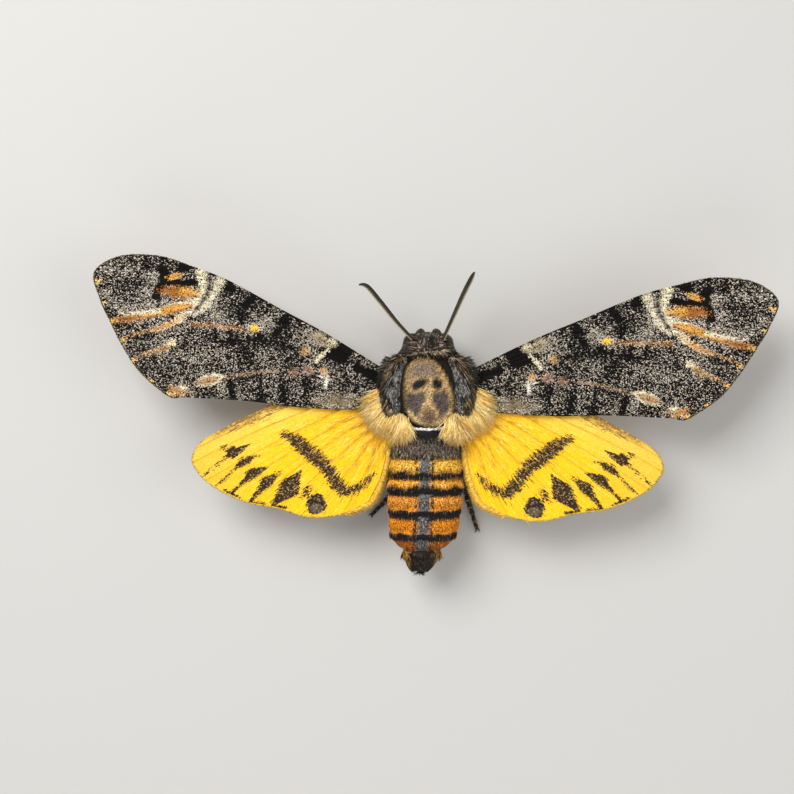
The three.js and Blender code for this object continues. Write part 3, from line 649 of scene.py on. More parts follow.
# From the face to the waist: y, half width, top and bottom.
BODY_STATIONS = [
    (9.1, 0.9, 9.9, 8.2),
    (8.8, 1.9, 11.0, 7.0),
    (8.2, 2.7, 11.9, 6.3),
    (7.2, 3.3, 12.4, 6.1),
    (6.3, 3.6, 12.6, 6.3),
    (5.7, 4.0, 13.2, 6.2),
    (5.1, 4.5, 14.0, 5.9),
    (4.3, 4.9, 14.5, 5.4),
    (2.4, 6.0, 15.5, 4.8),
    (-0.6, 6.6, 16.0, 4.6),
    (-3.6, 6.4, 15.4, 4.7),
    (-6.0, 5.8, 14.1, 5.1),
    (-7.2, 5.5, 13.4, 5.3),
]


def abdomen_middle(y):
    """Height and sideways shift of the abdomen's axis: the tail hangs and bends to the left."""
    share = (y - ABDOMEN_START) / (TAIL_END - ABDOMEN_START)
    share_inside = np.clip(share, 0, None)
    shift = -0.4 * np.minimum(share_inside * 5, 1) - 1.1 * share_inside**3
    return 9.4 - 1.3 * share**2, shift


def body_stations():
    """Rows of y, half width, top, bottom and sideways shift, from the face to the tail."""
    steps = []
    last = np.array((-7.9, 5.4, 4.2))
    for ring in np.array(ABDOMEN_RINGS):
        # Each ring starts a little under the one before it, swells, and ends in an even rim.
        steps.append((last[0] - 0.3, last[1] * 0.965, last[2] * 0.965))
        steps.append((last[0] + (ring[0] - last[0]) * 0.5, *(last[1:] * 0.45 + ring[1:] * 0.55)))
        steps.append((ring[0] + 0.9, *ring[1:]))
        steps.append((ring[0] + 0.25, *ring[1:]))
        last = ring
    rows = [(y, half, top, bottom, 0.0) for y, half, top, bottom in BODY_STATIONS]
    for y, wide, high in steps + TAIL_STATIONS:
        middle, shift = abdomen_middle(y)
        rows.append((y, wide, middle + high, middle - high, shift))
    return np.array(rows)


def in_frame(points):
    """Places in millimetres about the wings' roots, as metres in the model's frame."""
    return np.asarray(points) * MM + np.array((midline, origin_y, 0))


def in_millimetres(points):
    """Places in the model's frame, as millimetres about the wings' roots."""
    return (points - np.array((midline, origin_y, 0))) / MM


def sphere_grid(name, segments, rings):
    """A new sphere, with each point's share of the way from the first pole to the last, and its
    turn about the line between them."""
    deselect_all()
    bpy.ops.mesh.primitive_uv_sphere_add(segments=segments, ring_count=rings, radius=1)
    ob = bpy.context.object
    ob.name = name
    bpy.ops.object.shade_smooth()
    co = read_vertices(ob.data)
    share = np.arccos(np.clip(co[:, 2], -1, 1)) / np.pi
    return ob, share, np.arctan2(co[:, 1], co[:, 0])


def set_points(ob, points):
    """Moves the mesh's points, and turns its faces outwards if that has left them inside out."""
    mesh = ob.data
    mesh.vertices.foreach_set("co", np.ascontiguousarray(in_frame(points)).ravel())
    mesh.update()
    make_active(ob)
    bpy.ops.object.mode_set(mode="EDIT")
    bpy.ops.mesh.select_all(action="SELECT")
    bpy.ops.mesh.normals_make_consistent(inside=False)
    bpy.ops.object.mode_set(mode="OBJECT")


stations = body_stations()
skin, share, turn = sphere_grid("body_skin", 72, 260)
station = along(stations, share)
end_round = np.minimum(1, np.sin(np.pi * share) * 12)
middle = (station[:, 2] + station[:, 3]) / 2
x = station[:, 4] + np.cos(turn) * station[:, 1] * end_round
z = middle + np.sin(turn) * (station[:, 2] - station[:, 3]) / 2 * end_round
set_points(skin, np.stack((x, station[:, 0], z), -1))
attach(skin, "root")
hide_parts("thorax", "head", "abdomen", "collar")

# The skull's outline, from its crown to its jaw: y, left edge, right edge.
SKULL = [
    (4.4, -1.5, 0.2),
    (4.1, -2.3, 0.9),
    (3.2, -3.05, 1.8),
    (2.0, -3.4, 2.55),
    (0.8, -3.55, 3.25),
    (-1.5, -3.6, 4.05),
    (-3.9, -3.45, 4.25),
    (-5.4, -2.75, 3.9),
    (-6.3, -1.8, 3.1),
    (-6.8, -0.6, 1.8),
]


def body_marks(plan):
    """The marks on the back: the skull on the thorax, and the dark ground behind it."""
    marks = ScalePattern(plan)
    # The first ring's grey hair and the black gap before it.
    marks.streak("5f5347", [(-3.2, -10.4), (4.4, -10.4)], [1.5, 1.5])
    marks.streak("14100e", [(-3.6, -8.5), (3.8, -8.5)], [0.75, 0.75])
    # The skull's black rim, gold edge and brown ground, with a paler ridge down the middle.
    marks.patch("0f0c0b", SKULL, 0.55)
    marks.patch("c49b54", SKULL, 0.0)
    marks.patch("947858", SKULL, -0.22)
    marks.streak("b79668", [(0.2, 0.4), (0.3, -2.4)], [0.85, 0.45], 1.0)
    marks.oval("85705b", (-0.8, 2.4), (1.9, 1.2), 0, 1.5)
    right_edge = [(2.6, 1.6), (3.4, -0.6), (3.6, -2.6), (3.4, -4.0)]
    marks.streak("c8a266", right_edge, [0.16, 0.22, 0.24, 0.16])
    # Its two dark cheeks, the pale fork between them and the brown chin.
    for centre, half in (((-1.95, -2.9), (1.65, 2.0)), ((2.2, -2.9), (1.5, 2.0))):
        marks.oval("574c45", centre, half, 0, 1.4)
    fork = [(0.3, -0.9), (0.2, -2.2), (-0.5, -3.6), (-1.2, -5.0)]
    marks.streak("cdab74", fork, [0.28, 0.2, 0.2, 0.22])
    marks.streak("cdab74", [(0.2, -2.2), (0.85, -3.6), (1.6, -5.0)], [0.22, 0.2, 0.22])
    marks.oval("6f5643", (0.35, -5.3), (0.75, 1.0))
    # The eye spots, each on a paler ground.
    marks.oval("bb9a66", (-1.25, 0.05), (1.85, 1.1), 24)
    marks.oval("bb9a66", (1.75, 0.05), (1.1, 1.25), -12)
    marks.oval("010101", (-1.1, 0.3), (1.12, 0.62), 26, 0.35)
    marks.oval("010101", (-1.7, -0.1), (0.84, 0.62), 40, 0.35)
    marks.oval("010101", (1.66, 0.12), (0.7, 0.95), 14, 0.35)
    # The pale lower edges of the cheeks.
    left_jaw = [(-3.1, -4.4), (-2.4, -5.7), (-1.3, -6.4)]
    right_jaw = [(3.7, -4.6), (3.0, -5.8), (1.8, -6.4)]
    for points in (left_jaw, right_jaw):
        marks.streak("dcbc84", points, [0.2, 0.26, 0.2])
    return marks


# Where the head's hair, the tail's and the abdomen's begin.
NECK = 4.9
TAIL_START = -28.3
WAIST = -9.0

# Each yellow band of the abdomen: from, to, and its colour.
ABDOMEN_BANDS = [
    (-12.5, -14.8, "e6ae38"),
    (-15.9, -17.4, "eaa22c"),
    (-18.9, -21.3, "e3922a"),
    (-22.9, -25.3, "e08812"),
    (-26.5, -28.2, "a8560a"),
]


def flecks_at(points, draw):
    """A random share for each hair, mostly the same for the hairs of one small fleck."""
    count = len(points)
    cell = np.floor((points + draw.normal(0, 0.04, (count, 3))) / (0.24, 0.36, 0.30))
    shared = np.modf(np.abs(np.sin(cell @ (12.99, 78.23, 37.72)) * 43758.5))[0]
    return np.where(draw.random(count) < 0.8, shared, draw.random(count))


def coat_colours(points, up, draw, variety=1.0):
    """The colour of the hair at each place; up tells the back from the belly, and variety is how
    much one hair differs from the next."""
    count = len(points)
    x, y, z = points.T
    colour = np.tile(paint("17120f"), (count, 1))

    def put(shade, where, amount=1.0):
        colour[where] += (np.array(paint(shade)) - colour[where]) * amount

    own_fleck = flecks_at(points, draw)
    flecks = 0.5 + (own_fleck - 0.5) * variety
    jitter = draw.normal(0, 1, count) * variety
    head = y > NECK
    put("4f4237", head)
    put("ab9782", head & (flecks > 0.84))
    put("0d0a08", head & (flecks < 0.4))
    put("4f4338", (y <= NECK) & (y > -7.5) & (flecks > 0.72))
    put("a99678", (y > 5.1) & (y < 5.7) & (x > -0.6) & (x < 3.4) & (flecks > 0.45))
    # The abdomen: black-brown, with grey hair on its first ring.
    behind = y < -9.6 + 0.3 * jitter
    middle, shift = abdomen_middle(y)
    off_middle = np.abs(x - shift)
    put("14100d", behind)
    put("5d544a", behind & (flecks > 0.86))
    put("685846", behind & (y > -12.6) & (flecks > 0.3))
    put("b39c78", behind & (y > -12.6) & (flecks > 0.78))
    # Each ring's dark edge is drawn into teeth by its hair, and dips towards the back.
    around = np.arctan2(x - shift, z - middle)
    teeth = 0.22 * np.sin(9.0 * around + 2.0 * np.sin(y)) * draw.uniform(0.3, 1.6, count)
    dip = 0.5 * np.clip(1 - off_middle / 5.5, 0, 1) * (up > 0)
    for front, back, shade in ABDOMEN_BANDS:
        depth = np.minimum(front - 0.3 * dip - y, y - back + 0.5 * dip + teeth) + 0.13 * jitter
        in_band = depth > 0
        put(shade, in_band)
        put("8a4a0c", in_band & (depth < 0.3), 0.45)
        put("8f4d0c", in_band & (flecks > 0.82), 0.6)
        put("fbe09a", in_band & (flecks < 0.16) & (y > -20) & (depth > 0.3), 0.6)
        put("f0a83c", in_band & (flecks < 0.14) & (y < -20), 0.6)
    stripe = behind & (up > 0) & (off_middle < 1.05 + 0.3 * jitter) & (y > -28.6) & (y < -12)
    put("656360", stripe)
    put("97928a", stripe & (flecks > 0.8))
    put("26221f", stripe & (flecks < 0.3))
    stripe_edge = behind & (up > 0) & (np.abs(off_middle - 1.4) < 0.2) & (y < -12)
    put("17120f", stripe_edge & (flecks > 0.4))
    for _, back, _ in ABDOMEN_BANDS:
        put("120f0d", stripe & (np.abs(y - back + 0.5) < 0.5 + 0.1 * jitter) & (flecks > 0.15))
    tail = y < TAIL_START + 0.2 * jitter
    put("1c140e", tail)
    put("5b4630", tail & (flecks > 0.75))
    put("a87a30", tail & (np.abs(x - shift - 0.25) > 2.0) & (flecks > 0.45))
    # A gold edge along each side, then the belly's dull yellow bands and the breast's brown hair.
    put("d8a850", behind & (np.abs(up) < 0.22) & (y > -28) & (flecks > 0.45))
    belly = up < -0.2
    put("c2924a", belly & behind & (y > -28), 0.65)
    put("6a5238", belly & ~behind, 0.75)
    # The marks on the back, where dark and bright flecks speckle all that isn't black.
    marks = body_marks(np.stack((x, y), -1))
    marked_here = (up > 0.1) & (y > -12) & (marks.depth + 0.05 * jitter > 0)
    mark_colour = marks.colour[marked_here]
    bright = mark_colour[:, :3].mean(1)[:, None] > 0.03
    kind = own_fleck[marked_here][:, None]
    strength = np.where(kind < 0.34, 0.16, np.where(kind > 0.78, 1.85, 1.08))
    colour[marked_here] = mark_colour * np.where(bright, 1 + (strength - 1) * variety, 1)
    return np.clip(colour, 0, 1)


def tint(ob, colour):
    """Gives each point of a piece its own colour, for the finishes that read it."""
    write_attribute(ob.data, "coat_colour", "FLOAT_COLOR", colour)


# The skin carries the coat's colours too, darkened as painted shade from the hair above it, so
# that nothing bare shows between hairs.
UNDER_COAT_PAINTED_SHADE = 0.8
skin_points = in_millimetres(read_vertices(skin.data))
skin_up = read_vertices(skin.data, "normal")[:, 2]
skin_colour = coat_colours(skin_points, skin_up, np.random.default_rng(3), 0.3)
skin_colour[:, :3] *= UNDER_COAT_PAINTED_SHADE
tint(skin, skin_colour)


def hair_finish(name, dull, bright):
    """Hair or hair-like scales in their own colours, speckled between two strengths."""
    made, tree, shader = new_material(name)
    where = tree.nodes.new("ShaderNodeTexCoord").outputs["Object"]
    speckle = fade(tree, noise(tree, where, 4300.0, 2.0), 0.34, 0.66, dull, bright)
    hue = lay(tree, attribute(tree, "coat_colour", "Color"), speckle, 1.0, "MULTIPLY")
    tree.links.new(hue, shader.inputs["Base Color"])
    shader.inputs["Roughness"].default_value = 0.62
    shader.inputs["Specular IOR Level"].default_value = 0.18
    shader.inputs["Sheen Weight"].default_value = 0.04
    shader.inputs["Sheen Roughness"].default_value = 0.4
    add_bump(tree, shader, noise(tree, where, 9000.0, 2.0), 0.4, 0.03)
    return made


coat_finish = hair_finish("long_hair", 0.8, 1.15)
speckled_finish = hair_finish("short_speckled_hair", 0.4, 1.45)
skin.data.materials.append(speckled_finish)

# Short coat
# Hair and hair-like scales lie backwards over the whole body, each a thin blade that tapers to a
# point. They are shortest on the skull and face, and longest on the breast and the tail.
def unit(directions):
    """The same directions with a length of one."""
    return directions / np.linalg.norm(directions, axis=1)[:, None]


def along_surface(lie, out):
    """Directions laid flat against a surface that faces out."""
    return unit(lie - out * (lie * out).sum(1)[:, None])


def roots_on(ob, count, draw, weight=None):
    """Random places on a mesh, in millimetres about the wings' roots, and its direction outwards."""
    mesh = ob.data
    mesh.calc_loop_triangles()
    corners = np.empty(len(mesh.loop_triangles) * 3, np.int32)
    mesh.loop_triangles.foreach_get("vertices", corners)
    corners = corners.reshape(-1, 3)
    # A new sphere has its faces in another order each run, so they are put in order here.
    first = np.argmin(corners, axis=1)[:, None]
    corners = np.take_along_axis(corners, (first + np.arange(3)) % 3, axis=1)
    corners = corners[np.lexsort(corners.T[::-1])]
    co = in_millimetres(read_vertices(mesh))
    normal = read_vertices(mesh, "normal")
    a, b, c = (co[corners[:, k]] for k in range(3))
    area = np.linalg.norm(np.cross(b - a, c - a), axis=1)
    if weight is not None:
        area = area * weight((a + b + c) / 3, normal[corners].mean(1))
    total = np.cumsum(area)
    # Evenly stepped draws keep the hairs evenly spread.
    ticks = (np.arange(count) + draw.random(count)) / count * total[-1]
    chosen = np.searchsorted(total, ticks)
    s = np.sqrt(draw.random(count))
    t = draw.random(count)
    shares = np.stack((1 - s, s * (1 - t), s * t), -1)
    root = (co[corners[chosen]] * shares[..., None]).sum(1)
    out = (normal[corners[chosen]] * shares[..., None]).sum(1)
    return root, unit(out)


def body_unwrap(root):
    """Each root's place on the body's own unwrap: round it, and along it."""
    middle, shift = abdomen_middle(np.minimum(root[:, 1], ABDOMEN_START))
    around = 0.5 + np.arctan2(root[:, 0] - shift, root[:, 2] - middle) / (2 * np.pi)
    return np.stack((0.01 + 0.98 * around, 0.01 + 0.98 * (root[:, 1] + 34) / 44), -1)


# In millimetres: how deep a root sits in the skin, and how far all hair stays above the floor.
ROOT_DEPTH = 0.08
FLOOR_GAP = 0.03
# The side of each hair's patch on the bake's map, as a share of the map.
PATCH = 0.003
# How much lighter each hair's tip is painted than its own colour: painted light on the coat's outer
# layer.
TIP_PAINTED_LIGHT = 1.08


def hair_piece(
    name,
    root,
    out,
    lie,
    length,
    width,
    colour,
    unwrap,
    rise=0.25,
    curl=0.0,
    rings=2,
    shade=0.72,
    finish=coat_finish,
):
    """One mesh of tapering blades. Each starts in the skin, arches away from it by its rise, which
    is a share of its length, and ends in a point. Shade is the painted shade that darkens each
    blade's root, and each tip is painted a little lighter as painted light."""
    count = len(root)
    lie = along_surface(lie, out)
    side = np.cross(lie, out)
    length, width, rise, curl = (np.broadcast_to(v, count)[:, None] for v in (length, width, rise, curl))
    per_hair = rings * 3 + 1
    shape = np.zeros((count, per_hair, 3))
    for k in range(rings + 1):
        t = k / rings
        centre = root - ROOT_DEPTH * out + lie * length * t
        centre = centre + out * length * rise * math.sin(math.pi * 0.62 * t)
        centre = centre + side * length * curl * t * t
        if k == rings:
            shape[:, -1] = centre
            continue
        half = width * (0.5 if k == 0 else 0.5 * (1 - t * t) + 0.08)
        shape[:, 3 * k] = centre + side * half
        shape[:, 3 * k + 1] = centre + out * half * 0.8
        shape[:, 3 * k + 2] = centre - side * half
    shape[..., 2] = np.maximum(shape[..., 2], FLOOR_GAP)
    # Three-sided rings joined by quads, three triangles up to the tip, and one that closes the root.
    tip = rings * 3
    following = (1, 2, 0)
    walls = [
        (k + j, k + following[j], k + 3 + following[j], k + 3 + j)
        for k in range(0, tip - 3, 3)
        for j in range(3)
    ]
    ends = [(tip - 3 + j, tip - 3 + following[j], tip) for j in range(3)] + [(2, 1, 0)]
    start = np.arange(count)[:, None, None] * per_hair
    quads = (np.array(walls)[None] + start).reshape(-1, 4)
    triangles = (np.array(ends)[None] + start).reshape(-1, 3)
    mesh = bpy.data.meshes.new(name)
    mesh.from_pydata(in_frame(shape.reshape(-1, 3)), [], quads.tolist() + triangles.tolist())
    mesh.shade_smooth()
    mesh.materials.append(finish)
    ob = bpy.data.objects.new(name, mesh)
    bpy.context.scene.collection.objects.link(ob)
    points_in_ring = [3] * rings + [1]
    # Each blade goes from painted shade at its root, as dark as shade says, to painted light at its tip.
    shades = np.repeat(colour[:, None, :], per_hair, 1)
    shades[..., :3] *= np.repeat(np.linspace(shade, TIP_PAINTED_LIGHT, rings + 1), points_in_ring)[None, :, None]
    tint(ob, shades)
    # The bake's map: a small patch for each hair, at its root's place on the skin's unwrap.
    patch = np.zeros((per_hair, 2))
    patch[:, 0] = np.tile((0.0, 0.5, 1.0), rings + 1)[:per_hair] * PATCH
    patch[:, 1] = np.repeat(np.arange(rings + 1) / rings, points_in_ring) * PATCH
    patch[-1, 0] = 0.5 * PATCH
    uv = (unwrap[:, None, :] + patch[None]).reshape(-1, 2)
    corners = np.empty(len(mesh.loops), np.int32)
    mesh.loops.foreach_get("vertex_index", corners)
    layer = mesh.uv_layers.new(name="OFBake")
    layer.data.foreach_set("uv", uv[corners].ravel())
    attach(ob, "root")


def body_coat(name, count, weight, seed, size, lie=(0.10, -1.0, -0.05)):
    """Part of the body's short coat: weight says where it grows and how thickly, and size gives
    the length, width and rise for each root."""
    draw = np.random.default_rng(seed)
    root, out = roots_on(skin, count, draw, weight)
    length, width, rise = size(root, out)
    length = length * draw.uniform(0.75, 1.25, count)
    inwards = 0.4 * np.clip((-25.5 - root[:, 1]) / 2, 0, 1)
    across = (lie[0] - inwards) * np.clip(root[:, 0] / 2, -1, 1)
    lie = np.stack((across, np.full(count, lie[1]), np.full(count, lie[2])), -1)
    lie += draw.normal(0, 0.16, (count, 3))
    # A hair has the colour of the place that it covers, a little past its middle.
    shown_at = root + along_surface(lie, out) * (length * 0.6)[:, None]
    colour = coat_colours(shown_at, out[:, 2], draw)
    colour[:, :3] *= draw.uniform(0.8, 1.2, count)[:, None]
    hair_piece(
        name,
        root,
        out,
        lie,
        length,
        width,
        colour,
        body_unwrap(root),
        rise,
        finish=speckled_finish,
    )


def on_skull(root, out):
    """The middle of the thorax's back, where the skull lies in its black surround."""
    on_back = (out[:, 2] > 0.35) & (np.abs(root[:, 0]) < 5.4)
    return on_back & (root[:, 1] < NECK) & (root[:, 1] > -8.0)


body_coat(
    "coat_skull",
    17000,
    lambda root, out: on_skull(root, out) * 1.0,
    11,
    lambda root, out: (0.34, 0.125, 0.12),
)
body_coat(
    "coat_thorax",
    13000,
    lambda root, out: (
        ~on_skull(root, out) & (root[:, 1] > WAIST) & (root[:, 1] < 5.8)
    ) * np.where(out[:, 2] > -0.3, 1.0, 0.5),
    12,
    lambda root, out: (1.2 + np.where(out[:, 2] < -0.3, 0.5, 0), 0.17, 0.16),
)
body_coat(
    "coat_head",
    9500,
    lambda root, out: (root[:, 1] > 5.3) * 1.0,
    14,
    lambda root, out: (np.where(np.abs(root[:, 0]) > 2.2, 0.8, 0.6), 0.105, 0.26),
    (0.55, 0.75, -0.5),
)
body_coat(
    "coat_abdomen",
    19400,
    lambda root, out: (
        (root[:, 1] <= WAIST) & (root[:, 1] > TAIL_START - 0.3)
    ) * np.where(out[:, 2] > -0.2, 1.0, 0.45),
    13,
    lambda root, out: (0.9, 0.155, 0.08),
)
body_coat(
    "coat_tail",
    4200,
    lambda root, out: (root[:, 1] <= TAIL_START) * 1.0,
    16,
    lambda root, out: (1.5, 0.15, 0.06),
    (0.0, -1.0, 0.0),
)

# Brows
# Longer dark hair, rooted in the skin like the rest of the coat, stands out from the sides of the
# head and hides the upper half of each eye.
body_coat(
    "coat_brows",
    2600,
    lambda root, out: (
        (np.abs(root[:, 0]) > 1.7) & (root[:, 1] > 5.6) & (root[:, 1] < 8.7) & (out[:, 2] > 0.1)
    ) * 1.0,
    15,
    lambda root, out: (1.75, 0.2, 0.32),
    (1.0, 0.1, -0.15),
)

# Eyes
# Two bulging compound eyes at the sides of the head: dark brown, with a hard clear surface of
# thousands of tiny facets.
EYE_SIZE = np.array((1.3, 1.45, 2.05))
EYE_RIGHT = np.array((3.05, 7.3, 9.2))
eye_finish, tree, shader = new_material("eye_facets")
where = tree.nodes.new("ShaderNodeTexCoord").outputs["Object"]
facets = tree.nodes.new("ShaderNodeTexVoronoi")
facets.inputs["Scale"].default_value = 9000
facets.inputs["Randomness"].default_value = 0.25
tree.links.new(where, facets.inputs["Vector"])
bands = fade(tree, noise(tree, where, 500.0, 1.0), 0.35, 0.65)
brown = lay(tree, paint("1d0f09"), paint("4a2a18"), bands)
seams = fade(tree, facets.outputs["Distance"], 0.35, 0.6)
tree.links.new(lay(tree, brown, paint("0c0705"), seams), shader.inputs["Base Color"])
shader.inputs["Roughness"].default_value = 0.38
shader.inputs["Specular IOR Level"].default_value = 0.3
shader.inputs["Coat Weight"].default_value = 0.15
shader.inputs["Coat Roughness"].default_value = 0.15
add_bump(tree, shader, fade(tree, facets.outputs["Distance"], 0.6, 0.0), 0.35, 0.03)

for side, sign in SIDES.items():
    eye, share, turn = sphere_grid(f"eye_{side}_dome", 48, 32)
    round_it = np.sin(np.pi * share)
    ball = np.stack((round_it * np.cos(turn), round_it * np.sin(turn), np.cos(np.pi * share)), -1)
    set_points(eye, EYE_RIGHT * (sign, 1, 1) + ball * EYE_SIZE)
    eye.data.materials.append(eye_finish)
    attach(eye, "root")
    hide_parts(f"eye_{side}")

# Antennae
# Stiff tapering clubs of about seventy short joints, olive-black with a pale line along the outer
# edge, rooted in front of the eyes and ending in a thin hook.
ANTENNA_LINES = {
    "left": [
        (-2.5, 7.7, 12.0),
        (-5.2, 10.6, 13.0),
        (-8.1, 14.2, 13.6),
        (-10.3, 16.7, 13.8),
        (-11.9, 16.9, 13.7),
    ],
    "right": [
        (2.5, 7.5, 12.0),
        (4.2, 11.2, 13.0),
        (6.1, 15.4, 13.6),
        (7.4, 18.0, 13.8),
        (8.0, 19.2, 13.6),
    ],
}
ANTENNA_RADII = [0.3, 0.36, 0.42, 0.38, 0.08]
ANTENNA_JOINTS = 68


def limb(name, points, radii, segments=16, rings=48, flat=1.0, relief=None, up=(0.02, 0.01, 1.0)):
    """A closed round piece along a line of points, with rounded ends; flat squeezes it along up,
    and relief changes its thickness by share and turn. Gives the piece, its shares and turns."""
    ob, share, turn = sphere_grid(name, segments, rings)
    ahead = unit(along(points, np.minimum(share + 0.01, 1)) - along(points, np.maximum(share - 0.01, 0)))
    side = unit(np.cross(ahead, up))
    over = np.cross(side, ahead)
    thick = along(radii, share)
    length = np.linalg.norm(np.diff(along(points, np.linspace(0, 1, 60)), axis=0), axis=1).sum()
    to_end = np.clip(1 - np.minimum(share, 1 - share) * length / np.maximum(thick, 0.01), 0, 1)
    thick = thick * np.sqrt(1 - to_end**2)
    if relief is not None:
        thick = thick * relief(share, turn)
    round_it = side * np.cos(turn)[:, None] + over * np.sin(turn)[:, None] * flat
    set_points(ob, along(points, share) + round_it * thick[:, None])
    return ob, share, turn


def mixed(low, high, share):
    """A colour between two others for each share, one row each."""
    low, high = np.array(paint(low)), np.array(paint(high))
    return low + (high - low) * np.clip(share, 0, 1)[:, None]


horn_finish, tree, shader = new_material("scaled_horn")
where = tree.nodes.new("ShaderNodeTexCoord").outputs["Object"]
speck = fade(tree, noise(tree, where, 7000.0, 2.0), 0.32, 0.68, 0.6, 1.35)
hue = lay(tree, attribute(tree, "coat_colour", "Color"), speck, 1.0, "MULTIPLY")
tree.links.new(hue, shader.inputs["Base Color"])
rough = fade(tree, noise(tree, where, 2500.0, 2.0), 0.3, 0.7, 0.42, 0.68)
tree.links.new(rough, shader.inputs["Roughness"])
shader.inputs["Specular IOR Level"].default_value = 0.3
add_bump(tree, shader, noise(tree, where, 9000.0, 2.0), 0.5, 0.03)

for side, sign in SIDES.items():
    antenna, share, turn = limb(
        f"antenna_{side}_jointed",
        ANTENNA_LINES[side],
        ANTENNA_RADII,
        16,
        ANTENNA_JOINTS * 4,
        relief=lambda share, turn: 0.94 + 0.1 * np.abs(np.sin(np.pi * ANTENNA_JOINTS * share)),
    )
    outer = sign * np.cos(turn) + 0.25 * np.sin(turn)
    colour = mixed("2b241b", "17130f", share * 1.4)
    colour = np.where((outer > 0.72)[:, None], mixed("b9a67c", "8e7c58", share), colour)
    colour = np.where((share > 0.93)[:, None], np.array(paint("cdb88a")), colour)
    tint(antenna, colour)
    antenna.data.materials.append(horn_finish)
    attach(antenna, "root")
    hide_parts(f"antenna_{side}")

# Mouthparts
# Two upcurved palps close off the front of the face, furred like the head, with the short thick
# tongue coiled between and below them.
def pick_colours(shades, place):
    """A colour for each hair from a list of colours with their shares; place is from 0 to 1."""
    pick = np.searchsorted(np.cumsum([part for _, part in shades])[:-1], place)
    return np.array([paint(shade) for shade, _ in shades])[pick]


# Half the side, in millimetres, of the square that the other pieces' hair is unwrapped on.
PLAN_REACH = 62


def plan_unwrap(root):
    """Each root's place on a plan of the whole moth."""
    return 0.01 + 0.98 * (root[:, :2] + PLAN_REACH) / (2 * PLAN_REACH)


def loose_fur(
    name,
    host,
    count,
    seed,
    lie,
    length,
    width,
    rise,
    shades,
    weight=None,
    shade=0.72,
    marks_at=None,
):
    """Hair over another piece; lie gives its direction at each root, shades is a list of colours
    with the share of the hairs that has each, marks_at gives the marks that it lies in, and shade
    is how dark the painted shade at each hair's root is."""
    draw = np.random.default_rng(seed)
    root, out = roots_on(host, count, draw, weight)
    run = lie(root) + draw.normal(0, 0.14, (count, 3))
    colour = pick_colours(shades, draw.random(count))
    if marks_at is not None:
        marks = marks_at(root)
        in_mark = marks.depth + draw.normal(0, 0.25, count) > 0
        colour[in_mark] = marks.colour[in_mark]
    colour[:, :3] *= draw.uniform(0.8, 1.2, count)[:, None]
    length = length * draw.uniform(0.7, 1.25, count)
    hair_piece(name, root, out, run, length, width, colour, plan_unwrap(root), rise, shade=shade)


HEAD_SHADES = [("3f342b", 0.42), ("120e0b", 0.28), ("8d7a66", 0.3)]
for side, sign in SIDES.items():
    palp, share, turn = limb(
        f"palp_{side}_core",
        [(sign * 1.3, 6.5, 5.6), (sign * 1.45, 8.6, 5.7), (sign * 1.2, 9.3, 7.3)],
        [0.85, 0.95, 0.75, 0.35],
        24,
        32,
    )
    tint(palp, mixed("3a2d25", "2a211b", share))
    palp.data.materials.append(coat_finish)
    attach(palp, "root")
    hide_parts(f"palp_{side}")
    loose_fur(
        f"coat_palp_{side}",
        palp,
        1900,
        21,
        lambda root: np.tile((0.0, 0.9, 0.25), (len(root), 1)),
        0.5,
        0.105,
        0.2,
        HEAD_SHADES,
    )

TONGUE_TURNS = 2.1
coil = np.linspace(0, 1, 40)
angle = math.radians(80) - coil * TONGUE_TURNS * 2 * math.pi
coil_radius = 1.4 - 1.0 * coil
coil_y = 7.0 + coil_radius * np.cos(angle)
coil_z = 4.3 + coil_radius * np.sin(angle)
tongue_line = np.vstack(([(0, 7.3, 6.6)], np.stack((0.25 * coil, coil_y, coil_z), -1)))
tongue, share, turn = limb(
    "proboscis_coil",
    tongue_line,
    [0.4, 0.34, 0.28, 0.24, 0.18],
    16,
    220,
    relief=lambda share, turn: 0.97 + 0.05 * np.sin(share * 380),
    up=(1.0, 0.02, 0.01),
)
tint(tongue, mixed("3a2412", "24160b", share))
tongue.data.materials.append(horn_finish)
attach(tongue, "root")
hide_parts("proboscis")

# Tegulae
# A pad over the root of each forewing: slate-blue scales along its inner half, a thin olive line,
# and long dark hair streaked with grey over its outer half.
TEGULA_LINE = [
    (3.9, 4.6, 13.2),
    (5.2, 2.4, 13.4),
    (5.8, -1.0, 13.5),
    (5.6, -3.6, 13.1),
    (5.2, -5.6, 12.6),
]
TEGULA_RADII = [0.8, 1.4, 1.65, 1.4, 0.35]
TEGULA_HAIRS = 5200


def tegula_out(root):
    """How far across the pad a place lies: -1 at its inner edge, 1 at its outer edge."""
    line = np.array(TEGULA_LINE)[::-1]
    middle = np.interp(root[:, 1], line[:, 1], line[:, 0])
    half = np.interp(root[:, 1], line[:, 1], np.array(TEGULA_RADII)[::-1])
    return (np.abs(root[:, 0]) - middle) / half


def tegula_colours(root, draw):
    """Slate scales with pale and black flecks, the olive line, then brown hair streaked with tan."""
    across = tegula_out(root) + draw.normal(0, 0.05, len(root))
    flecks = flecks_at(root, draw)
    edge = 0.12 + 0.5 * np.exp(-(((root[:, 1] - 0.2) / 2.6) ** 2))
    colour = np.tile(paint("4d4b48"), (len(root), 1))

    def put(shade, where):
        colour[where] = paint(shade)

    put("8f8a80", flecks > 0.74)
    put("131313", flecks < 0.36)
    put("0b0a09", across < -0.84)
    put("0b0a09", (across > edge) & (across < edge + 0.1))
    put("8a7546", (across > edge + 0.1) & (across < edge + 0.2) & (flecks > 0.35))
    outer = across > edge + 0.2
    put("16120f", outer)
    put("745c40", outer & (flecks > 0.45))
    put("b5a188", outer & (flecks > 0.8))
    colour[:, :3] *= draw.uniform(0.8, 1.2, len(root))[:, None]
    return colour


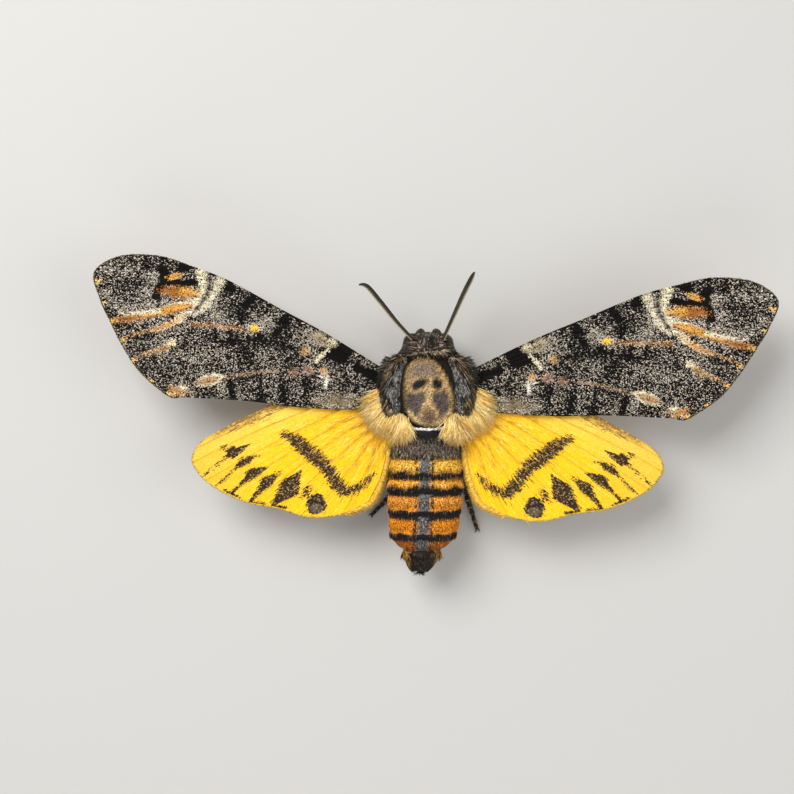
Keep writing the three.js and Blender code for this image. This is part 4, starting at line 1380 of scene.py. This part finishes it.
for side, sign in SIDES.items():
    draw = np.random.default_rng(31)
    line = [(sign * x, y, z) for x, y, z in TEGULA_LINE]
    tegula, _, _ = limb(f"tegula_{side}_pad", line, TEGULA_RADII, 40, 56, 0.72)
    # The pad under its hair is darkened by the same painted shade as the skin.
    tint(tegula, tegula_colours(in_millimetres(read_vertices(tegula.data)), draw) * UNDER_COAT_PAINTED_SHADE)
    tegula.data.materials.append(coat_finish)
    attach(tegula, "root")
    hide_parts(f"tegula_{side}")
    count = TEGULA_HAIRS
    root, out = roots_on(tegula, count, draw, lambda root, out: (out[:, 2] > -0.3) * 1.0)
    across = tegula_out(root)
    # From short flat scales on the inner half to long hair that leans outwards on the outer half.
    hairy = np.clip((across - 0.25) * 3, 0, 1)
    lie = np.stack((sign * (0.05 + 0.5 * hairy), np.full(count, -1.0), -0.2 * hairy), -1)
    lie += draw.normal(0, 0.13, (count, 3))
    length = (0.55 + 1.25 * hairy) * draw.uniform(0.7, 1.25, count)
    hair_piece(
        f"coat_tegula_{side}",
        root,
        out,
        lie,
        length,
        0.2 - 0.05 * hairy,
        tegula_colours(root, draw),
        plan_unwrap(root),
        0.08 + 0.14 * hairy,
    )

# Long hair
# Locks of long silky hair spread from the sides of the thorax over the roots of the wings, and two
# creamy tufts lie back over the first ring of the abdomen. They grow from the thorax.
def locks(name, sign, count, clumps, seed, place, shades, width=0.15, rise=0.12, loose=6.0):
    """Hair in locks that share a direction, give or take the degrees given as loose. For the share
    of the way round the fan, place gives the roots on the right side, their directions on the plan
    in degrees, their slope down and their length. A sign of -1 puts them on the left side."""
    draw = np.random.default_rng(seed)
    clump = draw.integers(0, clumps, count)
    share = np.clip((clump + 0.5 + draw.normal(0, 0.32, count)) / clumps, 0, 1)
    root, degrees, slope, length = place(share, draw)
    if sign < 0:
        root[:, 0] *= -1
        degrees = 180 - degrees
    a = np.radians(degrees + draw.normal(0, loose, count))
    run = np.stack((np.cos(a), np.sin(a), -slope + draw.normal(0, 0.05, count)), -1)
    out = unit(np.stack((np.cos(a) * slope, np.sin(a) * slope, np.ones(count)), -1))
    tone = draw.random(clumps)[clump] * 0.6 + draw.random(count) * 0.4
    length = length * draw.uniform(0.7, 1.1, clumps)[clump]
    root[:, 2] += draw.uniform(-0.25, 0.35, clumps)[clump]
    colour = pick_colours(shades, tone)
    colour[:, :3] *= draw.uniform(0.85, 1.15, count)[:, None]
    curl = draw.normal(0, 0.09, count)
    length = length * draw.uniform(0.45, 1.05, count)
    hair_piece(
        name,
        root,
        out,
        run,
        length,
        width,
        colour,
        plan_unwrap(root),
        rise,
        curl,
        # A lighter painted shade at the roots of the locks than in the short coat.
        rings=3,
        shade=0.88,
    )


def wing_root_fan(share, draw):
    """From the side of the thorax, over the roots of both wings."""
    x = 6.6 - 1.3 * share + draw.normal(0, 0.35, len(share))
    y = -0.6 - 4.6 * share + draw.normal(0, 0.35, len(share))
    z = 13.0 - 0.2 * share + draw.normal(0, 0.15, len(share))
    length = 4.6 + 2.2 * np.sin(np.pi * np.clip(share + 0.1, 0, 1))
    return np.stack((x, y, z), -1), -30 - 42 * share, 0.16 + 0.24 * share, length


def rear_tuft(share, draw):
    """From behind the skull, back over the abdomen's first ring."""
    x = 3.6 + 1.5 * share + draw.normal(0, 0.2, len(share))
    y = -6.1 + 0.9 * share + draw.normal(0, 0.3, len(share))
    z = 13.9 - 1.2 * share + draw.normal(0, 0.12, len(share))
    return np.stack((x, y, z), -1), -104 + 36 * share, 0.02 + 0.1 * share, 3.9 + 0.9 * share


def shoulder(share, draw):
    """Round the outside of the pad over the forewing's root."""
    x = 6.3 + 0.9 * np.sin(np.pi * share) + draw.normal(0, 0.25, len(share))
    y = 4.2 - 8.0 * share + draw.normal(0, 0.3, len(share))
    z = 13.3 + draw.normal(0, 0.2, len(share))
    return np.stack((x, y, z), -1), 5 - 80 * share, np.full(len(share), 0.35), 1.6


CREAM_LOCKS = [("c99a44", 0.13), ("f4cf78", 0.3), ("fdeab0", 0.34), ("fad65e", 0.23)]
TUFT_LOCKS = [("b88a48", 0.22), ("efc977", 0.4), ("fbe3a2", 0.38)]
DARK_LOCKS = [("110e0c", 0.5), ("2a241f", 0.3), ("6b6357", 0.14), ("9a8a68", 0.06)]
for side, sign in SIDES.items():
    locks(f"coat_wing_root_{side}", sign, 4200, 30, 41, wing_root_fan, CREAM_LOCKS)
    locks(f"coat_rear_tuft_{side}", sign, 1900, 12, 42, rear_tuft, TUFT_LOCKS, 0.15, 0.16, 10.0)
    locks(f"coat_shoulder_{side}", sign, 1900, 18, 43, shoulder, DARK_LOCKS, 0.16, 0.15)

# The white line behind the skull, broken in the middle.
loose_fur(
    "coat_white_line",
    skin,
    420,
    45,
    lambda root: np.column_stack((1 + 0 * root[:, 0], 0.07 * root[:, 0], 0 * root[:, 0])),
    0.85,
    0.11,
    0.15,
    [("f8f6f0", 0.8), ("c9c4ba", 0.2)],
    lambda root, out: (
        (np.abs(root[:, 1] + 7.5 - 0.035 * root[:, 0] ** 2) < 0.12)
        & (np.abs(root[:, 0]) < 3.5)
        & (np.abs(root[:, 0] - 0.6) > 0.2)
        & (out[:, 2] > 0.3)
    ) * 1.0,
    # A light painted shade at the roots of this white hair.
    0.95,
)

# Wing hair and fringes
# Yellow hair radiates over the root of each hindwing and fringes its inner edge; the other edges
# of both wings carry a short fringe of narrow scales.
for side, sign in SIDES.items():
    hindwing = hindwings[side]
    away = np.array((sign * 4.4, -1.5))

    def near_root(root):
        return np.exp(-((np.linalg.norm(root[:, :2] - away, axis=1) / 9.0) ** 2))

    def marks_here(root):
        return hindwing_pattern(turned(root[:, :2] * (sign, 1), -HINDWING["turn"][side]))

    loose_fur(
        f"coat_hindwing_{side}",
        hindwing,
        5200,
        51,
        lambda root: np.column_stack((root[:, :2] - away, 0 * root[:, 0])) / 6,
        2.1,
        0.13,
        0.035,
        [("f7c522", 0.46), ("f2b222", 0.22), ("f9dc74", 0.2), ("d8981f", 0.12)],
        lambda root, out: (out[:, 2] > 0.5) * near_root(root),
        # A light painted shade at the roots of the wing's hair.
        0.9,
        marks_here,
    )


def fringe(name, wing, side, line, across, lie, length, count, seed, shades, width=0.12):
    """Hair along an edge of a wing, from the middle of its thickness. Line and lie are on the wing's
    plan, and across says how far across the wing the line starts and ends."""
    draw = np.random.default_rng(seed)
    share = np.sort(draw.random(count))
    plan = along(line, share)
    across = across[0] + (across[1] - across[0]) * share
    root = in_millimetres(wing_point(wing, side, plan, across))
    run = in_millimetres(wing_point(wing, side, plan + lie(plan, share), across)) - root
    run[:, 2] = 0
    run = unit(run) + draw.normal(0, 0.2, (count, 3)) * (1, 1, 0.4)
    colour = pick_colours(shades, draw.random(count))
    colour[:, :3] *= draw.uniform(0.8, 1.2, count)[:, None]
    length = length * draw.uniform(0.6, 1.2, count)
    # The root goes back into the wing, so that the fringe grows out of its edge.
    root = root - run * 0.35 * length[:, None]
    out = np.tile((0.0, 0.0, 1.0), (count, 1))
    hair_piece(
        name, root, out, run, length * 1.35, width, colour, plan_unwrap(root), 0.05
    )


HINDWING_MARGIN = [vein[-1] for vein in HINDWING["veins"]]
FOREWING_MARGIN = [vein[-1] for vein in FOREWING["veins"]]
for side in SIDES:
    fringe(
        f"coat_hindwing_inner_{side}",
        HINDWING,
        side,
        HINDWING["veins"][-1][1:] + HINDWING_MARGIN[-2:-1],
        (1.0, 1.0),
        lambda plan, share: np.column_stack((np.full(len(share), -0.75), -0.65 + 0.4 * share)),
        1.25,
        2600,
        61,
        [("f5d36c", 0.36), ("f3c23a", 0.46), ("c98a1c", 0.18)],
    )
    fringe(
        f"coat_hindwing_outer_{side}",
        HINDWING,
        side,
        HINDWING_MARGIN,
        (0.0, 1.0),
        lambda plan, share: (plan - (8.0, 0.0)) / 20,
        0.38,
        3000,
        62,
        [("f4ce4c", 0.48), ("e8b83c", 0.38), ("6b4a1c", 0.14)],
    )
    fringe(
        f"coat_forewing_outer_{side}",
        FOREWING,
        side,
        FOREWING_MARGIN,
        (0.0, 1.0),
        lambda plan, share: (plan - (24.0, 8.0)) / 20,
        0.3,
        3000,
        63,
        [("15110e", 0.6), ("4a4036", 0.3), ("d9a648", 0.1)],
    )

# Legs
# Six slender legs, dark brown and short-haired: a stout thigh and shin, two spurs, a foot of five
# joints ringed with pale scales, and a pair of small claws.
LEG_LINES = {
    "leg_fore": [(2.3, 3.9, 6.2), (5.6, 1.4, 3.1), (4.5, 4.6, 1.3), (2.7, 8.4, 0.65)],
    "leg_mid": [(3.4, -1.2, 6.0), (9.2, -2.6, 4.6), (12.6, -6.0, 1.4), (17.2, -8.8, 0.65)],
    "leg_hind": [(3.0, -5.2, 6.2), (7.6, -10.6, 4.3), (6.6, -19.4, 1.5), (10.0, -22.8, 0.65)],
}
HIND_TOE_RIGHT = (8.4, -25.2, 0.65)


def join(pieces, name):
    deselect_all()
    for piece in pieces:
        piece.select_set(True)
    bpy.context.view_layer.objects.active = pieces[0]
    bpy.ops.object.join()
    pieces[0].name = name
    return pieces[0]


FOOT_JOINTS = 5
BOW = np.array((0, 0, 0.35))
for node, line in LEG_LINES.items():
    for side, sign in SIDES.items():
        hip, knee, ankle, toe = (np.array(point) for point in line)
        if node == "leg_hind" and side == "right":
            toe = np.array(HIND_TOE_RIGHT)
        hip, knee, ankle, toe = (point * (sign, 1, 1) for point in (hip, knee, ankle, toe))
        thigh_line = [hip, hip * 0.55 + knee * 0.45 + BOW, knee]
        thigh, share, _ = limb("thigh", thigh_line, [0.95, 1.2, 0.8], 16, 24)
        tint(thigh, mixed("3a2c22", "2a1f18", share))
        shin_line = [knee, (knee + ankle) / 2 + BOW, ankle]
        shin, share, _ = limb("shin", shin_line, [0.75, 0.85, 0.55], 16, 24)
        tint(shin, mixed("2e231b", "221913", share))
        foot, share, _ = limb(
            "foot",
            [ankle, ankle * 0.5 + toe * 0.5 - (0, 0, 0.15), toe],
            [0.5, 0.4, 0.3],
            14,
            60,
            relief=lambda share, turn: 0.82 + 0.3 * ((share * FOOT_JOINTS) % 1) ** 0.8,
        )
        ringed = ((share * FOOT_JOINTS) % 1) > 0.88
        foot_colour = mixed("231a14", "17110d", share)
        tint(foot, np.where(ringed[:, None], np.array(paint("8f7650")), foot_colour))
        parts = [thigh, shin, foot]
        run = (toe - ankle) / np.linalg.norm(toe - ankle)
        across = np.cross(run, (0, 0, 1))
        for turn_out, reach in ((0.35, 1.5), (-0.35, 1.2)):
            spur_end = ankle + (run + across * turn_out) * reach + (0, 0, 0.1)
            spur_line = [ankle, (ankle + spur_end) / 2, spur_end]
            spur, share, _ = limb("spur", spur_line, [0.2, 0.16, 0.05], 8, 12)
            tint(spur, mixed("6b5236", "2a1f18", share))
            parts.append(spur)
        for turn_out in (0.7, -0.7):
            claw_end = toe + (run * 0.7 + across * turn_out * 0.6) - (0, 0, 0.4)
            claw_mid = toe + (run * 0.5 + across * turn_out * 0.35) + (0, 0, 0.05)
            claw, share, _ = limb("claw", [toe, claw_mid, claw_end], [0.15, 0.12, 0.03], 8, 12)
            tint(claw, mixed("2a1c10", "0c0805", share))
            parts.append(claw)
        leg = join(parts, f"{node}_{side}_jointed")
        leg.data.materials.append(horn_finish)
        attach(leg, "root")
        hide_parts(f"{node}_{side}")

        def down_the_leg(root):
            """The direction of the part of the leg that is nearest to each root."""
            away = []
            runs = []
            for start, end in ((hip, knee), (knee, ankle), (ankle, toe)):
                nearest = segment_share(root, start, end)[:, None] * (end - start)
                away.append(np.linalg.norm(root - start - nearest, axis=1))
                runs.append((end - start) / np.linalg.norm(end - start))
            return np.array(runs)[np.argmin(away, axis=0)]

        loose_fur(
            f"coat_{node}_{side}",
            leg,
            1500,
            71,
            down_the_leg,
            0.55,
            0.1,
            0.3,
            [("2a1f18", 0.5), ("14100c", 0.25), ("7a6242", 0.17), ("c4a468", 0.08)],
        )

# Floor, light and colour
# A plain pale floor and soft light from large panels, brightest from above and a little behind
# the moth's head, so that its body casts one soft shadow.
deselect_all()
bpy.ops.mesh.primitive_plane_add(size=3)
floor = bpy.context.object
floor.name = "floor"
floor_finish, tree, shader = new_material("pale_floor")
shader.inputs["Base Color"].default_value = paint("bcbab6")
shader.inputs["Roughness"].default_value = 0.9
floor.data.materials.append(floor_finish)


def panel(name, place, size, watts):
    """A square soft light that faces the moth, in metres and watts."""
    light = bpy.data.lights.new(name, "AREA")
    light.size = size
    light.energy = watts
    ob = bpy.data.objects.new(name, light)
    ob.location = place
    ob.rotation_euler = (VIEW_CENTRE - Vector(place)).to_track_quat("-Z", "Y").to_euler()
    bpy.context.scene.collection.objects.link(ob)


panel("key", (-0.18, 0.22, 0.38), 0.28, 2.4)
panel("fill", (0.35, -0.05, 0.30), 0.35, 0.8)
panel("low", (-0.05, -0.40, 0.22), 0.35, 0.7)
world = bpy.data.worlds.new("studio")
bpy.context.scene.world = world
world.use_nodes = True
background = world.node_tree.nodes["Background"]
background.inputs["Color"].default_value = (0.95, 0.97, 1.0, 1)
background.inputs["Strength"].default_value = 0.40
bpy.context.scene.view_settings.view_transform = "Standard"
